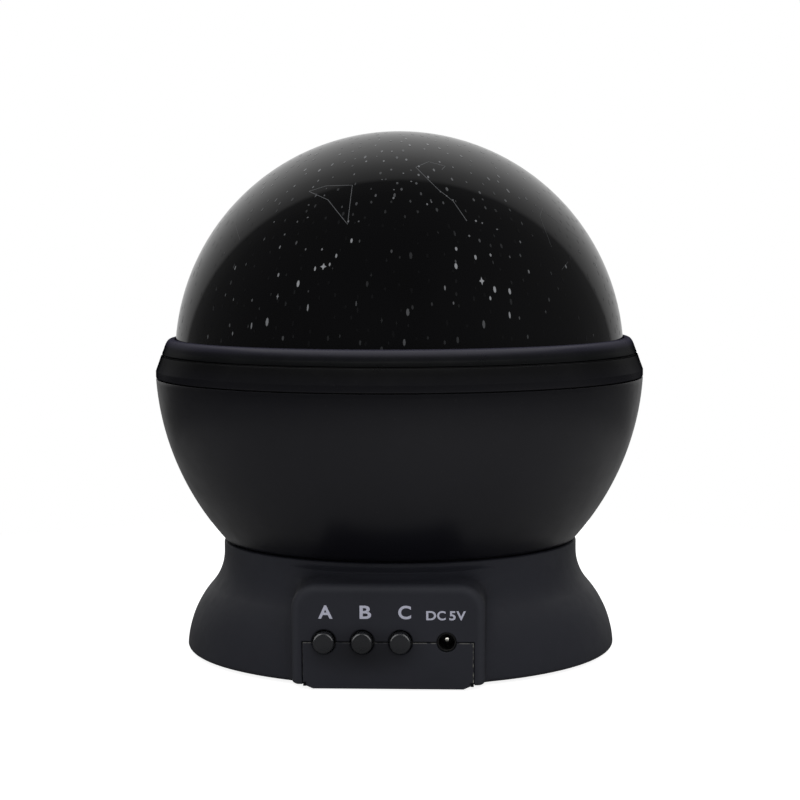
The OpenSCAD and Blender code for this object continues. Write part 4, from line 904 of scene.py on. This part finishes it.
flap = {"left": -20.06, "right": 20.12, "top": 11.25, "low": 0.25, "clip": 1.6, "notch": (0.8, 1.75, 0.95),
        "edge": 0.18, "front": 56.0, "back": 53.9, "wear": {"left": 0.1, "right": 1.0, "top": 0.35, "middle": 0.1}}
across, notchTop, notchLow = flap["notch"]
left, right, top, clip = flap["left"], flap["right"], flap["top"], flap["clip"]
outline = [(left + across + clip, flap["low"]), (right - across - clip, flap["low"]), (right - across, notchLow),
           (right - across, notchTop), (right, notchTop), (right, top)]
for x, r, c in reversed(holes):
    start = math.degrees(math.asin((plan["splitZ"] - top) / r))
    outline += arcPoints((x, plan["splitZ"]), r, -start, start - 180, 20)
outline += [(left, top), (left, notchTop), (left + across, notchTop), (left + across, notchLow)]
count = len(outline)
inner = []
for i in range(count):
    before, here, after = (Vector(outline[(i + k) % count]) for k in (-1, 0, 1))
    first, second = (here - before).normalized(), (after - here).normalized()
    inward = Vector((-first.y - second.y, first.x + second.x)).normalized()
    slant = max(0.5, inward.dot(Vector((-first.y, first.x))))
    inner.append(here + inward * flap["edge"] / slant)
plate = loft("flap", [[(x, -flap["front"], z) for x, z in inner],
                      [(x, -flap["front"] + flap["edge"], z) for x, z in outline],
                      [(x, -flap["back"], z) for x, z in outline]])
worn = [0.0] * len(plate.polygons)  # its first faces are the rounded edge of the front
for i in range(count):
    x, z = (Vector(outline[i]) + Vector(outline[(i + 1) % count])) / 2
    side = "left" if x < left + 0.05 else "right" if x > right - 0.05 else "top" if z > top - 0.05 else None
    side = "middle" if side == "top" and -16 < x < 6 else side
    worn[i] = flap["wear"].get(side, 0)
marked(plate, "wear", worn, "FACE")
coverMesh = nodes["bottom_cover"].data.copy()
coverMesh.transform(nodes["bottom_cover"].matrix_world)
work = bmesh.new()
work.from_mesh(coverMesh)
bmesh.ops.remove_doubles(work, verts=work.verts, dist=1e-7)
work.to_mesh(coverMesh)
work.free()
cutters = [blockMesh("front", (-21, -58, -2), (21, -53.95, 12))]
cutters += [blockMesh("corner", (x - 1.5, -53.99, -2), (x + 1.5, -47, notchTop)) for x in (-20.6, 20.6)]
for cutter in cutters:
    coverMesh = carved(coverMesh, smoothed(cutter))
coverMesh.materials.clear()
coverMesh.materials.append(surface["footCharcoal"])
# painted shade: dark blocks in the flap's corner notches, made near black by the painted shade ovals at the corners
notchShadeBlocks = [blockMesh("notchShadeBlock", (x, -55.1, notchLow - 0.25), (x + across - 0.04, -54.3, notchTop - 0.02))
           for x in (left + 0.02, right - across + 0.02)]
coverMesh = joined("cover", [coverMesh, plate] + notchShadeBlocks)
placed("cover", smoothed(coverMesh, 10, False), "base", ["bottom_cover"])
print("flap made")

# Push buttons and the inlet's centre pin, turned about Y

button = {"outline": [(0, 51.2), (1.6, 51.2), (1.6, 52.9), (3.6, 52.9), (3.6, 53.9), (2.52, 53.9), (2.52, 58.4, 0.7),
                      (1.75, 58.4, 0.06), (1.6, 58.37), (0, 58.37)]}
inletPin = {"outline": [(0, 47.4), (0.65, 47.4), (0.65, 52.35), (0.61, 52.49), (0.48, 52.56), (0.25, 52.59),
                        (0, 52.6)]}


def panelPlace(x, z, lift=0.0):  # turns what is made upright to face out of the panel
    return Matrix.Translation((x * mm, -lift * mm, z * mm)) @ rotated(90, "X")


buttonProfile = filleted(button["outline"])
for letter, x in zip("abc", cuts["buttonX"]):
    mesh = turned("button_" + letter, buttonProfile, surface["buttonCharcoal"], 72, closed=False, angle=30)
    mesh.transform(panelPlace(x, plan["splitZ"]))
    placed("button_" + letter + "_cap", mesh, "button_" + letter, ["button_" + letter])
pinMesh = turned("inlet_pin", inletPin["outline"], surface["nickel"], 32, closed=False)
pinMesh.transform(panelPlace(cuts["inletX"], plan["splitZ"]))
placed("inlet_pin", pinMesh, "base", ["jack_pin"])

# Plain generic lettering printed on the panel

lettering = {"lift": 0.02, "weight": 0.024, "marks": [  # letter, middle x, foot z, size, stretch
    ("A", -14.6, 17.0, 4.3, 1.06), ("B", -5.35, 17.0, 4.3, 1.22), ("C", 4.0, 17.0, 4.3, 1.05),
    ("D", 10.15, 16.75, 2.95, 1.16), ("C", 12.6, 16.75, 2.95, 1.02), ("5", 15.2, 16.75, 2.95, 1.15),
    ("V", 17.2, 16.75, 2.95, 1.1)]}

letterMeshes = []
for text, x, z, size, stretch in lettering["marks"]:
    textData = bpy.data.curves.new("letters", "FONT")
    textData.body, textData.size, textData.align_x = text, size * mm, "CENTER"
    textData.offset = lettering["weight"] * size * mm
    mesh = plainMesh(shown("letters", textData))
    mesh.transform(panelPlace(x, z, panelY + lettering["lift"]) @ Matrix.Scale(stretch, 4, (1, 0, 0)))
    letterMeshes.append(mesh)
letterMesh = joined("panel_letters", letterMeshes)
letterMesh.materials.append(surface["letterPrint"])
placed("panel_letters", letterMesh, "base")
print("buttons and letters made")

# Camera, at the photograph's viewing angle

view = {"distance": 0.539, "height": 0.1079, "turn": 3.1, "tilt": 4.69, "roll": -0.24, "lens": 94.1, "aside": 0.0005}
cameraData = bpy.data.cameras.new("camera")
cameraData.lens, cameraData.clip_start, cameraData.shift_x = view["lens"], 0.01, view["aside"]
camera = shown("camera", cameraData)
camera.matrix_world = (rotated(view["turn"], "Z") @ Matrix.Translation((0, -view["distance"], view["height"]))
                       @ rotated(90 - view["tilt"], "X") @ rotated(view["roll"], "Z"))
scene.camera = camera
scene.view_settings.view_transform = "Standard"

# Studio: a white backdrop behind the lamp, a dark room in front of it, and even light

studio = {"ambient": 0.55, "backdropAxis": (-0.05, 1, 0.535), "sideGlow": 0.03, "lowLeft": 0.4,
          "backdrop": [(0, 0.065), (0.5, 0.075), (0.632, 0.1), (0.668, 0.3), (0.726, 0.38), (0.788, 0.46),
                       (0.847, 0.57), (0.901, 0.67), (0.95, 0.72), (1, 0.72)]}
world = bpy.data.worlds.new("studio")
scene.world = world
world.use_nodes = True
world.cycles.sampling_method = "NONE"
tree = world.node_tree
tree.nodes.clear()
direction = outOf(tree, "ShaderNodeTexCoord", output="Generated")
facing = vectorMaths(tree, "DOT_PRODUCT", direction, Vector(studio["backdropAxis"]).normalized(), output="Value")
glossy = toneRamp(tree, facing, [(position, grey(level)) for position, level in studio["backdrop"]])
across, upward = axisOf(tree, direction, "X"), axisOf(tree, direction, "Z")
glossy = mixed(tree, 1.0, glossy, ranged(tree, across, 0, studio["sideGlow"], 0.2, 0.9), "ADD")
shaded = maths(tree, "MULTIPLY", ranged(tree, across, studio["lowLeft"], 0, -0.4, -0.05),
               ranged(tree, upward, 1, 0, -0.25, 0))
glossy = mixed(tree, shaded, glossy, grey(0))
path = addNode(tree, "ShaderNodeLightPath").outputs
lit = mixed(tree, path["Is Glossy Ray"], grey(studio["ambient"]), glossy)
seen = maths(tree, "MAXIMUM", path["Is Camera Ray"], path["Is Transmission Ray"])
background = outOf(tree, "ShaderNodeBackground", {"Color": mixed(tree, seen, lit, grey(1)), "Strength": 1.0})
addNode(tree, "ShaderNodeOutputWorld", {"Surface": background})

floor = {"radius": 240, "hole": 46, "sides": 96, "drop": 0.2, "colour": (194, 194, 194), "glossShare": (0.38, 0.51),
         "lift": 0.88}


def floorPaper(tree, look):
    path = addNode(tree, "ShaderNodeLightPath").outputs
    colour = paint(*look["colour"])
    paper = mottled(tree, objectNoise(tree, 3, 2), colour, tinted(colour, 1.02))
    # painted shade in reflections: glossy rays see the floor darker towards the left, which darkens its reflection in
    # the bowl
    share = ranged(tree, axisOf(tree, objectPlace(tree), "X"), *look["glossShare"], -0.12, 0.03)
    sheen = mixed(tree, share, grey(0), colour)
    return {"Base Color": mixed(tree, path["Is Glossy Ray"], paper, sheen), "Roughness": 0.9,
            "Specular IOR Level": 0, "Emission Color": grey(1),
            "Emission Strength": maths(tree, "MULTIPLY", path["Is Camera Ray"], look["lift"])}


material = newMaterial("floorPaper", floorPaper, floor)
tree = material.node_tree
shader, ending = tree.nodes["Principled BSDF"], tree.nodes["Material Output"]
fill(tree, ending, {"Surface": outOf(tree, "ShaderNodeMixShader", {  # clear from below, to look at the underside
    0: outOf(tree, "ShaderNodeNewGeometry", output="Backfacing"), 1: shader.outputs["BSDF"],
    2: outOf(tree, "ShaderNodeBsdfTransparent")})})
sides = floor["sides"]  # a ring: its hole, hidden under the lamp, lets the underside be lit
corners = [(r * math.cos(2 * math.pi * k / sides), r * math.sin(2 * math.pi * k / sides), -floor["drop"])
           for r in (floor["hole"], floor["radius"]) for k in range(sides)]
faces = [(k, sides + k, sides + (k + 1) % sides, (k + 1) % sides) for k in range(sides)]
floorPiece = shown("floor", meshFrom("floor", corners, faces, material))

buttonCaps = ["button_" + letter + "_cap" for letter in "abc"]
lamps = {"overhead": {"place": (0, 0.1, 1.1), "size": 2.4, "power": 9.0, "gloss": True},
         "front": {"place": (0.25, -1.3, 0.5), "size": 0.9, "power": 4.0, "gloss": False},
         "pin": {"place": (0.03, -0.85, 0.08), "size": 0.9, "power": 3.4, "gloss": True, "only": ["inlet_pin"]},
         "left": {"place": (-0.9, -0.3, 0.8), "size": 1.5, "power": 16.0, "gloss": True, "only": buttonCaps},
         "right": {"place": (0.9, -0.3, 0.8), "size": 1.5, "power": 16.0, "gloss": True, "only": buttonCaps}}
unlit = ("star_dome", "star_dome_shell", "printed_sky")  # the mirror-like dome shows the surroundings only
lampAim = Vector((0, 0, 0.06))
for name, lamp in lamps.items():
    lampData = bpy.data.lights.new(name, "AREA")
    lampData.shape, lampData.size, lampData.energy = "DISK", lamp["size"], lamp["power"]
    lampPiece = shown(name, lampData)
    place = Vector(lamp["place"])
    facing = (lampAim - place).to_track_quat("-Z", "Y").to_matrix().to_4x4()
    lampPiece.matrix_world = Matrix.Translation(place) @ facing
    reached = bpy.data.collections.new("lit by " + name)
    for piece in scene.objects:
        if piece.type == "MESH" and piece.name not in unlit and piece.name in lamp.get("only", [piece.name]):
            reached.objects.link(piece)
    lampPiece.light_linking.receiver_collection = reached
    lampPiece.visible_glossy = lamp["gloss"]
    lampPiece.visible_diffuse = "only" not in lamp
    lampPiece.visible_camera = False
print("studio ready")
